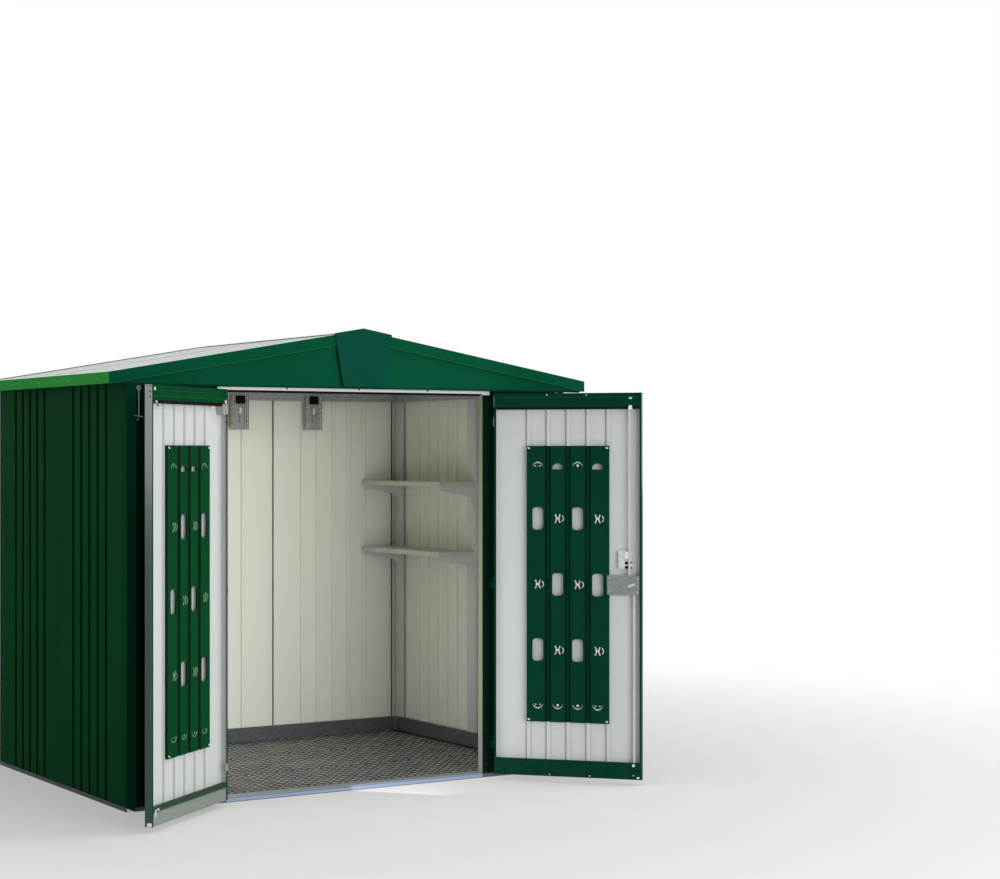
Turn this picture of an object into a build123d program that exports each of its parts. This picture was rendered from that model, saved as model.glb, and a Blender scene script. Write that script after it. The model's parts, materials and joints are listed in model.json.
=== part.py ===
from build123d import *

import os
from math import atan2, cos, hypot, radians, sin, tan

# A metal storage shed with a low gable roof and a pair of front doors, both standing open.
# Millimetres, +Z up, +X to the right seen from the front, +Y to the back.
# The origin is the centre of the wall footprint at ground level.

# Sheet metal and clearances
sheet = 2.0               # thickness of every folded sheet
fit = 0.3                 # seating gap between two fixed pieces
swing_gap = 5.0           # gap between a closed door and the frame behind it

# Walls, set out in equal panels between corner posts
module = 720.0            # cover width of one wall panel
back_panel_count = 3
side_panel_count = 2
post_leg = 45.0           # leg of a corner post
post_return = 12.0        # stiffening fold at the end of a leg
wall_top = 1828.0         # top of the wall panels
panel_return = 15.0       # fold along the upright edges of a panel

# Pressed ribs of the wall panels and the door leaves
rib_pitch = 93.0
rib_count = 5
rib_width = 26.0
rib_flank = 6.0           # run of a rib's sloping side
rib_depth = 8.0

# Base frame and floor
foot = 40.0               # width of a base rail on the ground
foot_height = 18.0        # the panels stand on the rail's outer step
rail_height = 90.0        # height of the side and back rails inside the panels
rail_lip = 22.0           # top flange of a side or back rail
floor_level = 20.0
floor_joint = 1.0         # joint between two floor plates
floor_channel_width = 60.0
sill_top = 24.0
sill_depth = 62.0

# Doorway and doors
doorway_width = 1324.0
jamb_face = 40.0          # front flange of a jamb
jamb_depth = 36.0
lintel_height = 50.0      # the lintel reaches down this far from the wall head
hinge_offset = 38.0       # hinge axes stand this far outside the doorway
door_bottom = 25.0
door_head_lap = 6.0       # a closed door laps the lintel by this much
door_thick = 33.0
door_hinge_gap = 10.0     # from the hinge axis to the edge of the leaf
door_meeting_gap = 6.0    # between the two closed leaves
door_lip = 10.0           # inner lip along the upright edges of a leaf
door_rail_height = 75.0
rail_step_height = 26.0   # recessed band along the head of a door
rail_step_depth = 6.0
left_door_angle = 142.0   # how far the doors stand open, in degrees
right_door_angle = 133.0

# Hinges
hinge_from_foot = 143.0   # lowest hinge above the foot of a leaf
hinge_from_head = 116.0   # highest hinge below the head of a leaf
hinge_middle_drop = 10.0  # the middle hinge sits below the midpoint of the others
knuckle_radius = 5.0
knuckle_length = 28.0
pin_radius = 3.0
pin_clearance = 0.08
hinge_plate = 4.0
hinge_foot = 37.0         # foot of a hinge bracket on the front wall

# Punched tool boards on the inside of the doors
board_edge = 6.0          # a board ends this far past the outermost ribs
board_bottom = 273.0
board_head_gap = 167.0    # clear leaf between a board and the top rail
board_standoff = 13.0     # height of a board's flats above the ribs that carry it
slot_width = 50.0
slot_height = 104.0
slot_corner = 16.0
slot_first = 331.0        # lowest row of slots above the foot of a board
slot_pitch = 302.0
arch_drop = 94.0          # row of arched openings below the head of a board
arch_width = 50.0
arch_height = 28.0
arch_round = 24.0
lug_width = 26.0          # H-shaped openings between the slots
lug_height = 44.0
lug_bar = 8.0

# Roof
side_overhang = 95.0
gable_reach = 38.0        # from a wall face to the outside of the barge strips
eave_rise = 22.0          # eaves above the wall heads
roof_rise = 208.0         # ridge above the eaves
fascia_height = 49.0
gable_lap = 24.0          # how far a gable's foot comes down over the wall head
cover_width = 60.0        # width of a ridge or eave cover on the slope
roof_rib_spacing = 180.0
roof_rib_width = 30.0
roof_rib_depth = 12.0
roof_rib_flank = 7.5
gable_inset = 12.0        # the gable sheets stand behind the outside of the barge strips
plate_top_half = 146.0    # half widths of the centre plate on the front gable
plate_bottom_half = 104.0
plate_relief = 5.0        # the centre plate stands this far in front of the barge strips
plate_rise = 8.0          # and this far above the roof line

# Top rails, rafters and ridge beam
top_rail_height = 48.0
top_rail_depth = 30.0
ridge_beam_height = 60.0
ridge_beam_width = 40.0
rafter_height = 40.0
rafter_width = 40.0

# Shelves on the right wall
shelf_depth = 210.0
shelf_thick = 24.0
shelf_heights = (1361.0, 1009.0)    # tops of the shelves
bracket_tip = 18.0        # depth of a bracket at the front edge of its shelf
bracket_root = 42.0       # depth of its arm near the upright
bracket_drop = 110.0      # how far it comes down the upright
upright_width = 70.0
upright_depth = 20.0

# Tool hangers on the back wall
hanger_width = 100.0
hanger_height = 180.0
hanger_drop = 20.0        # top of a hanger below the wall head
hanger_fold = 12.0
hanger_places = (144.0, 574.0)
keyhole_radius = 9.0
keyhole_slot = 7.0
keyhole_length = 54.0     # slot below the keyhole's eye

# Hooks that hold the doors open
hook_wire = 5.0
hook_drop = 31.0          # top of a hook below the wall head
hook_length = 135.0
hook_from_corner = 51.0

# Lock on the inside of the right door; places are measured in from the leaf's free edge
rod_width = 10.0
rod_thick = 4.0
rod_depth = 20.0          # rods run this far behind the outer face
crank_place = 47.0
crank_height = 908.0
crank_throw = 11.0        # from the crank's pivot to each rod
crank_length = 34.0
crank_width = 12.0
crank_lean = 20.0         # tilt of the crank from level, in degrees
pivot_radius = 3.0
lock_case_place = 79.0
lock_case_width = 62.0
lock_case_drop = 10.0     # the case reaches this far below the knob
lock_case_height = 80.0
lock_case_depth = 14.0
band_start = 160.0
band_end = 7.0
band_height = 89.0
knob_height = 993.0
knob_radius = 16.0
knob_rose = 24.0
knob_neck = 8.0
knob_reach = 34.0
knob_sides = 12
pivot_sides = 8

# Sizes that follow
wall_width = back_panel_count * module + 2 * post_leg
wall_depth = side_panel_count * module + 2 * post_leg
half_width = wall_width / 2
half_depth = wall_depth / 2
eave_height = wall_top + eave_rise
ridge_height = eave_height + roof_rise
gable_bottom = wall_top - gable_lap
roof_half = half_width + side_overhang
roof_slope = (ridge_height - eave_height) / roof_half
roof_angle = atan2(ridge_height - eave_height, roof_half)
roof_front = -half_depth - gable_reach
roof_back = half_depth + gable_reach
strip_inner = half_depth + gable_reach - sheet - fit    # just behind the barge strips
panel_foot = foot_height + fit
rail_set = panel_return + fit
doorway_half = doorway_width / 2
lintel_bottom = wall_top - lintel_height
door_top = lintel_bottom + door_head_lap
hinge_x = doorway_half + hinge_offset
hinge_y = -half_depth - swing_gap - door_thick
leaf_end = hinge_x - door_meeting_gap / 2
rib_back = rib_depth + sheet           # how far a rib stands in from the outer face
roof_drop = 2 * sheet + fit + roof_rib_depth
lowest_hinge = door_bottom + hinge_from_foot
highest_hinge = door_top - hinge_from_head
hinge_heights = (lowest_hinge, (lowest_hinge + highest_hinge) / 2 - hinge_middle_drop, highest_hinge)
leaf_middle = (door_hinge_gap + leaf_end) / 2
lock_room = lock_case_place + lock_case_width / 2 + rib_width / 2  # clear of ribs at a leaf's edges
door_rib_count = int((leaf_end - door_hinge_gap - 2 * lock_room) // rib_pitch) + 1
door_ribs = [leaf_middle + (i - (door_rib_count - 1) / 2) * rib_pitch for i in range(door_rib_count)]
board_width = door_ribs[-1] - door_ribs[0] + 2 * board_edge
lock_case_bottom = knob_height - lock_case_drop
board_height = door_top - door_rail_height - board_head_gap - board_bottom

os.makedirs("parts", exist_ok=True)


def save(name, *pieces):
    """Label a finished piece, or a set of like pieces on one body, and write its file."""
    with BuildPart() as group:
        for piece in pieces:
            add(piece)
    group.part.label = name
    export_step(group.part, f"parts/{name}.step")


def roof_line(x, drop=0.0):
    """Height of the roof's top surface at x, lowered by a drop square to the slope."""
    return ridge_height - abs(x) * roof_slope - drop / cos(roof_angle)


def wall_plane(wall, run=0.0, height=0.0):
    """Plan of one wall: x runs along it from its left end seen from outside, y goes inwards."""
    corner = {
        "front": ((-half_width, -half_depth), (1, 0)),
        "right": ((half_width, -half_depth), (0, 1)),
        "back": ((half_width, half_depth), (-1, 0)),
        "left": ((-half_width, half_depth), (0, -1)),
    }
    (x, y), (dx, dy) = corner[wall]
    return Plane(origin=(x + dx * run, y + dy * run, height), x_dir=(dx, dy, 0), z_dir=(0, 0, 1))


def wall_section(wall, run):
    """Section across one wall: x goes inwards from its outer face, y goes up."""
    plan = wall_plane(wall, run)
    return Plane(origin=plan.origin, x_dir=plan.y_dir, z_dir=plan.x_dir)


def rib_places(width, count):
    """Middles of the ribs across a sheet, set out from its middle."""
    first = (width - (count - 1) * rib_pitch) / 2
    return [first + i * rib_pitch for i in range(count)]


def folded_sheet(start, end, fold, places, width, depth, flank, lip=0.0):
    """Outline of a ribbed sheet with a fold, and perhaps a lip, along both upright edges.

    The outer face is at 0 and the ribs are pressed inwards.
    """
    mitre = sheet * tan(atan2(depth, flank) / 2)
    outer = [(start, fold), (start, 0)]
    inner = [(start + sheet, fold - (sheet if lip else 0)), (start + sheet, sheet)]
    if lip:
        outer.insert(0, (start + lip, fold))
        inner.insert(0, (start + lip, fold - sheet))
    for place in places:
        for side in (-1, 1):
            foot_x = place + side * width / 2
            crown_x = foot_x - side * flank
            low = ((foot_x, 0), (foot_x + side * mitre, sheet))
            high = ((crown_x, depth), (crown_x + side * mitre, depth + sheet))
            for out_point, in_point in (low, high)[::-side]:
                outer.append(out_point)
                inner.append(in_point)
    outer += [(end, 0), (end, fold)]
    inner += [(end - sheet, sheet), (end - sheet, fold - (sheet if lip else 0))]
    if lip:
        outer.append((end - lip, fold))
        inner.append((end - lip, fold - sheet))
    return outer + inner[::-1]


def extrude_outline(points, plane, amount):
    """A straight length of profile from the points of its section."""
    with BuildPart() as profile:
        with BuildSketch(plane):
            with BuildLine():
                Polyline(*points, close=True)
            make_face()
        extrude(amount=amount)
    return profile.part


# Wall panels
def wall_panel(wall, run, width, count):
    """One ribbed wall panel with a fold along each upright edge."""
    places = rib_places(width, count)
    points = folded_sheet(0, width, panel_return, places, rib_width, rib_depth, rib_flank)
    return extrude_outline(points, wall_plane(wall, run, panel_foot), wall_top - panel_foot)


def panel_run(index):
    """Where a panel starts along its wall."""
    return post_leg + index * module + fit


for wall, count in (("left", side_panel_count), ("right", side_panel_count), ("back", back_panel_count)):
    save(
        f"{wall}_wall",
        *(wall_panel(wall, panel_run(index), module - 2 * fit, rib_count) for index in range(count)),
    )

front_panel_width = half_width - post_leg - doorway_half - jamb_face - 2 * fit
front_ribs = int((front_panel_width - 2 * rib_width) // rib_pitch)
save("front_wall_left", wall_panel("front", post_leg + fit, front_panel_width, front_ribs))
front_right_run = wall_width - post_leg - fit - front_panel_width
save("front_wall_right", wall_panel("front", front_right_run, front_panel_width, front_ribs))


# Corner posts
def angle_outline(leg, fold):
    """An angle whose two legs end in a short fold."""
    return [
        (0, 0), (leg, 0), (leg, fold), (leg - sheet, fold), (leg - sheet, sheet),
        (sheet, sheet), (sheet, leg - sheet), (fold, leg - sheet), (fold, leg), (0, leg),
    ]


post_outline = angle_outline(post_leg, post_return)
save(
    "corner_posts",
    *(
        extrude_outline(post_outline, wall_plane(wall, 0, panel_foot), wall_top - panel_foot)
        for wall in ("front", "right", "back", "left")
    ),
)


# Base rails
def base_rail(wall, start, web=True):
    """A folded base rail: a step under the panels and, behind them, an upright web with a lip."""
    full = wall_width if wall in ("front", "back") else wall_depth
    web_run = post_leg + 2 * fit
    step_points = [
        (0, 0), (sheet, 0), (sheet, foot_height - sheet), (foot - sheet, foot_height - sheet),
        (foot - sheet, 0), (foot, 0), (foot, foot_height), (0, foot_height),
    ]
    web_points = [
        (foot - sheet, foot_height), (foot, foot_height), (foot, rail_height),
        (foot - rail_lip, rail_height), (foot - rail_lip, rail_height - sheet),
        (foot - sheet, rail_height - sheet),
    ]
    step = extrude_outline(step_points, wall_section(wall, start), full - 2 * start)
    if not web:
        return step
    return step + extrude_outline(web_points, wall_section(wall, web_run), full - 2 * web_run)


save(
    "base_rails",
    base_rail("left", 0),
    base_rail("right", 0),
    base_rail("back", foot + fit),
    base_rail("front", foot + fit, web=False),
)

# Door sill
sill_outline = [
    (0, panel_foot), (sheet, panel_foot), (sheet, sill_top - sheet),
    (sill_depth - sheet, sill_top - sheet), (sill_depth - sheet, floor_level + fit),
    (sill_depth, floor_level + fit), (sill_depth, sill_top), (0, sill_top),
]
sill_length = doorway_width - 2 * fit
sill_run = half_width - sill_length / 2
save("door_sill", extrude_outline(sill_outline, wall_section("front", sill_run), sill_length))

# Floor plates, folded down to the ground along their edges, with a channel under the middle
floor_margin = foot + fit
floor_width = wall_width - 2 * floor_margin
floor_depth = (wall_depth - 2 * floor_margin - 2 * floor_joint) / 3
floor_channel_length = floor_width - 2 * foot


def floor_plate(y):
    """One floor plate across the shed with its folds and the channel that stiffens it."""
    half = floor_channel_width / 2
    top = floor_level - sheet
    channel = [
        (-half, 0), (half, 0), (half, top), (half - sheet, top), (half - sheet, sheet),
        (-half + sheet, sheet), (-half + sheet, top), (-half, top),
    ]
    start = Plane(origin=(-floor_channel_length / 2, y, 0), x_dir=(0, 1, 0), z_dir=(1, 0, 0))
    with BuildPart() as plate:
        with Locations((0, y)):
            Box(floor_width, floor_depth, floor_level, align=(Align.CENTER, Align.CENTER, Align.MIN))
            Box(
                floor_width - 2 * sheet, floor_depth - 2 * sheet, top,
                align=(Align.CENTER, Align.CENTER, Align.MIN), mode=Mode.SUBTRACT,
            )
        add(extrude_outline(channel, start, floor_channel_length))
    return plate.part


save("floor_plates", *(floor_plate(i * (floor_depth + floor_joint)) for i in (-1, 0, 1)))


# Jambs and lintel
def channel_outline(face, depth, lip):
    """A channel: front flange, web and back flange, with the web at 0."""
    return [
        (0, 0), (face, 0), (face, sheet), (sheet, sheet), (sheet, depth - sheet),
        (lip, depth - sheet), (lip, depth), (0, depth),
    ]


jamb_outline = channel_outline(jamb_face, jamb_depth, jamb_face / 2)
jamb_run_left = half_width - doorway_half
jamb_left_outline = [(-x, y) for x, y in jamb_outline]
jamb_height = lintel_bottom - fit - panel_foot
jamb_left_plane = wall_plane("front", jamb_run_left, panel_foot)
jamb_right_plane = wall_plane("front", wall_width - jamb_run_left, panel_foot)
save("door_jamb_left", extrude_outline(jamb_left_outline, jamb_left_plane, jamb_height))
save("door_jamb_right", extrude_outline(jamb_outline, jamb_right_plane, jamb_height))

lintel_length = doorway_width + 2 * jamb_face
lintel_outline = [
    (0, lintel_bottom), (jamb_depth, lintel_bottom), (jamb_depth, lintel_bottom + jamb_face / 2),
    (jamb_depth - sheet, lintel_bottom + jamb_face / 2), (jamb_depth - sheet, lintel_bottom + sheet),
    (sheet, lintel_bottom + sheet), (sheet, wall_top), (0, wall_top),
]
lintel_run = half_width - lintel_length / 2
save("door_lintel", extrude_outline(lintel_outline, wall_section("front", lintel_run), lintel_length))


# Top rails inside the wall heads
side_rail_top = roof_line(half_width - rail_set, roof_drop) - fit


def top_rail(wall):
    """A channel along the head of one wall, open towards the panels; the side rails carry the roof."""
    near = rail_set
    far = near + top_rail_depth
    low = wall_top - top_rail_height
    high = wall_top if wall == "back" else side_rail_top
    points = [
        (near, low), (far, low), (far, high), (near, high), (near, high - sheet),
        (far - sheet, high - sheet), (far - sheet, low + sheet), (near, low + sheet),
    ]
    full = wall_width if wall == "back" else wall_depth
    start = rail_set + top_rail_depth + fit if wall == "back" else panel_return + fit
    return extrude_outline(points, wall_section(wall, start), full - 2 * start)


front_rail_points = [
    (0, wall_top + fit), (foot, wall_top + fit), (foot, wall_top + fit + jamb_face / 2),
    (foot - sheet, wall_top + fit + jamb_face / 2), (foot - sheet, wall_top + fit + sheet),
    (0, wall_top + fit + sheet),
]
front_rail_run = rail_set + top_rail_depth + fit
front_rail = extrude_outline(
    front_rail_points, wall_section("front", front_rail_run), wall_width - 2 * front_rail_run
)
save("top_rails", *(top_rail(wall) for wall in ("left", "right", "back")), front_rail)

# Gables
gable_drop = 2 * sheet + 2 * fit   # the sheets end just below the roof sheets
gable_edge = roof_half - sheet - fit


def gable(wall):
    """A gable sheet with a flange folded back to the wall along its foot."""
    face = -gable_reach + gable_inset
    corner_height = roof_line(gable_edge, gable_drop)
    outline = [
        (-gable_edge, gable_bottom), (gable_edge, gable_bottom), (gable_edge, corner_height),
        (0, roof_line(0, gable_drop)), (-gable_edge, corner_height),
    ]
    facing = -1 if wall == "front" else 1
    face_y = facing * (half_depth - face)
    flange_length = gable_reach - gable_inset - fit
    front_plane = Plane(origin=(0, face_y, 0), x_dir=(1, 0, 0), z_dir=(0, -1, 0))
    with BuildPart() as sheet_part:
        with BuildSketch(front_plane):
            with BuildLine():
                Polyline(*outline, close=True)
            make_face()
        extrude(amount=facing * sheet)
        with BuildSketch(Plane.XY.offset(gable_bottom)):
            with Locations((0, face_y - facing * flange_length / 2)):
                Rectangle(2 * gable_edge, flange_length)
        extrude(amount=sheet)
    return sheet_part.part


save("gable_front", gable("front"))
save("gable_back", gable("back"))

# Centre plate over the ridge end of the front gable: a shallow tray with a deeper rim at its foot
def plate_outline(top_drop):
    """Outline of the centre plate, with its upper edges a drop below the roof line."""
    side_run = plate_top_half - plate_bottom_half
    side_rise = roof_line(plate_top_half) + plate_rise - gable_bottom
    top_middle = roof_line(0) - top_drop
    # the sides slant straight up from the foot until they meet the upper edges
    gap = top_middle - roof_slope * plate_bottom_half - gable_bottom
    share = gap / (side_rise + roof_slope * side_run)
    corner = (plate_bottom_half + share * side_run, gable_bottom + share * side_rise)
    return [
        (-plate_bottom_half, gable_bottom), (plate_bottom_half, gable_bottom), corner,
        (0, top_middle), (-corner[0], corner[1]),
    ]


def plate_layer(points, y, depth, hollow):
    """A layer of the centre plate reaching forwards from y; a hollow one is only its rim."""
    with BuildPart() as layer:
        with BuildSketch(Plane(origin=(0, y, 0), x_dir=(1, 0, 0), z_dir=(0, -1, 0))):
            with BuildLine():
                Polyline(*points, close=True)
            make_face()
            if hollow:
                offset(amount=-sheet, mode=Mode.SUBTRACT)
        extrude(amount=depth)
    return layer.part


plate_full = plate_outline(-plate_rise)
plate_back = roof_front - fit
save(
    "gable_centre_plate",
    plate_layer(plate_full, plate_back - plate_relief, sheet, False)
    + plate_layer(plate_full, plate_back, plate_relief, True)
    + plate_layer(
        plate_outline(fascia_height + fit), roof_front + gable_inset - fit, gable_inset, True
    ),
)


# Roof sheets, one for each panel of the side walls on each slope
def slope_plane(side, run_y):
    """Section across one roof slope: x runs along the eave and y goes down into the slope."""
    down = (side * cos(roof_angle), 0, -sin(roof_angle))
    return Plane(origin=(0, run_y, ridge_height), x_dir=(0, -side, 0), z_dir=down)


sheet_front = -strip_inner
sheet_span = 2 * -sheet_front
roof_sheet_width = sheet_span / side_panel_count - fit
slope_length = hypot(roof_half, ridge_height - eave_height)
ridge_clear = roof_drop * tan(roof_angle) + fit
roof_rib_count = int((roof_sheet_width - 2 * roof_rib_width) // roof_rib_spacing) + 1


def roof_sheet(side, index):
    """A ribbed roof sheet from the ridge to the eave, below the strips that cover its edges."""
    first = (roof_sheet_width - (roof_rib_count - 1) * roof_rib_spacing) / 2
    places = [first + i * roof_rib_spacing for i in range(roof_rib_count)]
    start_y = sheet_front + index * sheet_span / side_panel_count + fit / 2
    plane = slope_plane(side, start_y if side < 0 else start_y + roof_sheet_width)
    top = sheet + fit
    outline = folded_sheet(
        0, roof_sheet_width, 2 * sheet, places, roof_rib_width, roof_rib_depth, roof_rib_flank
    )
    lowered = [(x, y + top) for x, y in outline]
    return extrude_outline(lowered, plane.offset(ridge_clear), slope_length - ridge_clear - sheet - fit)


sides = (("left", -1), ("right", 1))
for name, side in sides:
    save(f"roof_{name}", *(roof_sheet(side, index) for index in range(side_panel_count)))


# Ridge cover, ridge beam, eave strips and barge strips
def slope_point(distance, drop=0.0):
    """A point of the left half's section, a distance down the slope and a drop below its top."""
    x = distance * cos(roof_angle) + drop * sin(roof_angle)
    return (-x, ridge_height - distance * sin(roof_angle) - drop * cos(roof_angle))


def cross_section(points, side=-1):
    """Section points across the shed, mirrored for the right side."""
    return [(x, z) if side < 0 else (-x, z) for x, z in points]


def along(points, start, end):
    """A length of profile running to the back between two places."""
    plane = Plane(origin=(0, end, 0), x_dir=(1, 0, 0), z_dir=(0, -1, 0))
    return extrude_outline(points, plane, end - start)


half_cover = [slope_point(cover_width), slope_point(cover_width, sheet)]
ridge_points = [(0, ridge_height), *half_cover, (0, ridge_height - sheet / cos(roof_angle))]
ridge_points += [(-x, z) for x, z in (half_cover[1], half_cover[0])]
save("ridge_cover", along(ridge_points, -strip_inner, strip_inner))

beam_top = roof_line(ridge_beam_width / 2, roof_drop) - fit
beam_low = beam_top - ridge_beam_height
beam_half = ridge_beam_width / 2
beam_points = [
    (-beam_half, beam_low), (beam_half, beam_low), (beam_half, beam_top), (beam_half - sheet, beam_top),
    (beam_half - sheet, beam_low + sheet), (-beam_half + sheet, beam_low + sheet),
    (-beam_half + sheet, beam_top), (-beam_half, beam_top),
]
beam_end = half_depth + gable_reach - gable_inset - sheet - fit
ridge_beam = along(beam_points, -beam_end, beam_end)

# Rafters halfway back, from the ridge beam to the side top rails
rafter_start = (beam_half + fit) / cos(roof_angle)
rafter_end = (half_width - rail_set - top_rail_depth - fit) / cos(roof_angle)


def rafter(side):
    """A channel under the roof sheets, open downwards."""
    half = rafter_width / 2
    high = roof_drop + fit
    low = high + rafter_height
    points = [
        (-half, high), (half, high), (half, low), (half - sheet, low), (half - sheet, high + sheet),
        (-half + sheet, high + sheet), (-half + sheet, low), (-half, low),
    ]
    # the upper end clears the beam where the channel leans away from the vertical
    start = rafter_start + low * tan(roof_angle)
    end = rafter_end + high * tan(roof_angle)
    return extrude_outline(points, slope_plane(side, 0).offset(start), end - start)


save("roof_frame", ridge_beam, *(rafter(side) for _, side in sides))

fascia_return = 15.0
eave_cover = cover_width / 2
eave_low = eave_height - fascia_height
eave_points = [
    (-roof_half, eave_height), (-roof_half, eave_low), (-roof_half + fascia_return, eave_low),
    (-roof_half + fascia_return, eave_low + sheet), (-roof_half + sheet, eave_low + sheet),
    (-roof_half + sheet, roof_line(roof_half - sheet, sheet)),
    slope_point(slope_length - eave_cover, sheet), slope_point(slope_length - eave_cover),
]
for name, side in sides:
    save(f"eave_strip_{name}", along(cross_section(eave_points, side), -strip_inner, strip_inner))


def barge_strip(side, facing):
    """A strip over the gable's sloping edge, folded back over the roof and towards the gable."""
    face = [
        (-fit / 2, roof_line(fit / 2)), (-roof_half, eave_height),
        (-roof_half, eave_height - fascia_height), (-fit / 2, roof_line(fit / 2) - fascia_height),
    ]
    cover = [
        slope_point(cover_width + fit), slope_point(slope_length - eave_cover - fit),
        slope_point(slope_length - eave_cover - fit, sheet), slope_point(cover_width + fit, sheet),
    ]
    fold_end = roof_half - fascia_return - fit
    fold = [
        (-x, roof_line(x) - fascia_height + rise)
        for x, rise in ((fit / 2, 0), (fold_end, 0), (fold_end, sheet), (fit / 2, sheet))
    ]
    plane = Plane(origin=(0, facing * roof_back, 0), x_dir=(1, 0, 0), z_dir=(0, -1, 0))
    with BuildPart() as strip:
        for points, reach in ((face, sheet), (cover, eave_cover), (fold, gable_inset - fit)):
            with BuildSketch(plane):
                with BuildLine():
                    Polyline(*cross_section(points, side), close=True)
                make_face()
            extrude(amount=facing * reach)
    return strip.part


for name, facing in (("front", -1), ("back", 1)):
    save(f"barge_strips_{name}", *(barge_strip(side, facing) for _, side in sides))

# Shelves, carried by two uprights on the right wall
right_inner = half_width - rib_back - fit
upright_middle_y = 0.0
upright_corner_y = half_depth - rib_back - fit - upright_width / 2
shelf_front = upright_middle_y - upright_width / 2
shelf_back = half_depth - panel_return - fit


def upright(y):
    """A shelf upright: a channel standing against the ribs, open towards the wall."""
    low = rail_height + fit
    high = wall_top - top_rail_height - fit
    near = right_inner
    points = [
        (near, -upright_width / 2), (near, -upright_width / 2 + sheet),
        (near - upright_depth + sheet, -upright_width / 2 + sheet),
        (near - upright_depth + sheet, upright_width / 2 - sheet),
        (near, upright_width / 2 - sheet), (near, upright_width / 2),
        (near - upright_depth, upright_width / 2), (near - upright_depth, -upright_width / 2),
    ]
    return extrude_outline([(x, y + dy) for x, dy in points], Plane.XY.offset(low), high - low)


save("shelf_uprights", upright(upright_middle_y), upright(upright_corner_y))

shelf_outer = right_inner - upright_depth - fit
for name, top in zip(("upper", "lower"), shelf_heights):
    with BuildPart() as shelf:
        with BuildSketch(Plane.XY.offset(top - shelf_thick)):
            with Locations((shelf_outer - shelf_depth / 2, (shelf_front + shelf_back) / 2)):
                Rectangle(shelf_depth, shelf_back - shelf_front)
        extrude(amount=shelf_thick)
        with BuildSketch(Plane.XY.offset(top - shelf_thick)):
            with Locations((shelf_outer - shelf_depth / 2, (shelf_front + shelf_back) / 2)):
                Rectangle(shelf_depth - 2 * sheet, shelf_back - shelf_front - 2 * sheet)
        extrude(amount=shelf_thick - sheet, mode=Mode.SUBTRACT)
    save(f"shelf_{name}", shelf.part)


def shelf_bracket(y, top):
    """A plate under the end of a shelf, with a round inner corner towards its upright."""
    tip = shelf_outer - shelf_depth
    root = shelf_outer - (bracket_drop - bracket_root)
    leg = shelf_outer - bracket_tip / 2
    elevation = Plane(origin=(0, y, top - shelf_thick - fit), x_dir=(1, 0, 0), z_dir=(0, -1, 0))
    with BuildPart() as bracket:
        with BuildSketch(elevation):
            with BuildLine():
                Polyline(
                    (leg, -bracket_drop), (shelf_outer, -bracket_drop), (shelf_outer, 0), (tip, 0),
                    (tip, -bracket_tip), (root, -bracket_root),
                )
                RadiusArc((root, -bracket_root), (leg, -bracket_drop), bracket_drop - bracket_root)
            make_face()
        extrude(amount=-sheet)
    return bracket.part


bracket_places = (shelf_front, shelf_back - upright_width)
save(
    "shelf_brackets",
    *(shelf_bracket(y, top) for y in bracket_places for top in shelf_heights),
)

# Tool hangers on the face of the back top rail
hanger_face = half_depth - rail_set - top_rail_depth - fit


def tool_hanger(place):
    """A hanger plate with side folds and a keyhole."""
    half = hanger_width / 2
    low = wall_top - hanger_drop - hanger_height
    plan = [
        (-half, 0), (half, 0), (half, hanger_fold), (half - sheet, hanger_fold), (half - sheet, sheet),
        (-half + sheet, sheet), (-half + sheet, hanger_fold), (-half, hanger_fold),
    ]
    hanger_plan = Plane(origin=(place, hanger_face, low), x_dir=(-1, 0, 0), z_dir=(0, 0, 1))
    elevation = Plane(origin=(place, hanger_face, 0), x_dir=(1, 0, 0), z_dir=(0, -1, 0))
    eye = low + hanger_height / 2
    with BuildPart() as hanger:
        with BuildSketch(hanger_plan):
            with BuildLine():
                Polyline(*plan, close=True)
            make_face()
        extrude(amount=hanger_height)
        with BuildSketch(elevation):
            with Locations((0, eye)):
                Circle(keyhole_radius)
            with Locations((0, eye - keyhole_length / 2)):
                Rectangle(keyhole_slot, keyhole_length)
        extrude(amount=sheet, mode=Mode.SUBTRACT)
    return hanger.part


save("tool_hangers", *(tool_hanger(place) for place in hanger_places))


# Hooks on the front wall for holding the doors open
def door_hook(side):
    """A wire hook that hangs from the head of the front wall."""
    x = side * (half_width - hook_from_corner)
    wall_y = -half_depth - fit
    wire_y = wall_y - 2 * hook_wire
    high = wall_top - hook_drop - hook_wire / 2
    low = high - hook_length + hook_wire
    path_points = (
        (x, wall_y, high), (x, wire_y, high), (x, wire_y, low), (x, wire_y - 2 * hook_wire, low),
    )
    with BuildPart() as hook:
        with BuildLine() as path:
            Polyline(*path_points)
        with BuildSketch(Plane(origin=path_points[0], z_dir=(0, -1, 0))):
            RegularPolygon(hook_wire / 2, pivot_sides)
        sweep(path=path.line, transition=Transition.RIGHT)
    return hook.part


save("door_hooks", *(door_hook(side) for _, side in sides))

# Doors
board_back = rib_back + fit
board_face = board_back + board_standoff
lip_inside = door_thick - sheet - fit


def door_axes(side, angle):
    """Directions along a leaf from its hinge and inwards from its outer face."""
    turn = radians(angle)
    along_leaf = Vector(-side * cos(turn), -sin(turn), 0)
    inwards = Vector(-side * sin(turn), cos(turn), 0)
    return along_leaf, inwards


def door_plan(side, angle, height):
    """Plan of a leaf: x runs from the hinge axis to the free edge."""
    along_leaf, _ = door_axes(side, angle)
    return Plane(origin=(side * hinge_x, hinge_y, height), x_dir=along_leaf, z_dir=(0, 0, 1))


def door_face(side, angle, depth):
    """Elevation of a leaf at a depth behind its outer face: y goes up."""
    along_leaf, inwards = door_axes(side, angle)
    origin = Vector(side * hinge_x, hinge_y, 0) + inwards * depth
    return Plane(origin=origin, x_dir=along_leaf, z_dir=along_leaf.cross(Vector(0, 0, 1)))


def plan_points(side, points):
    """Plan points with their depth turned to the inner side of the leaf."""
    return [(x, -side * depth) for x, depth in points]


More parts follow.
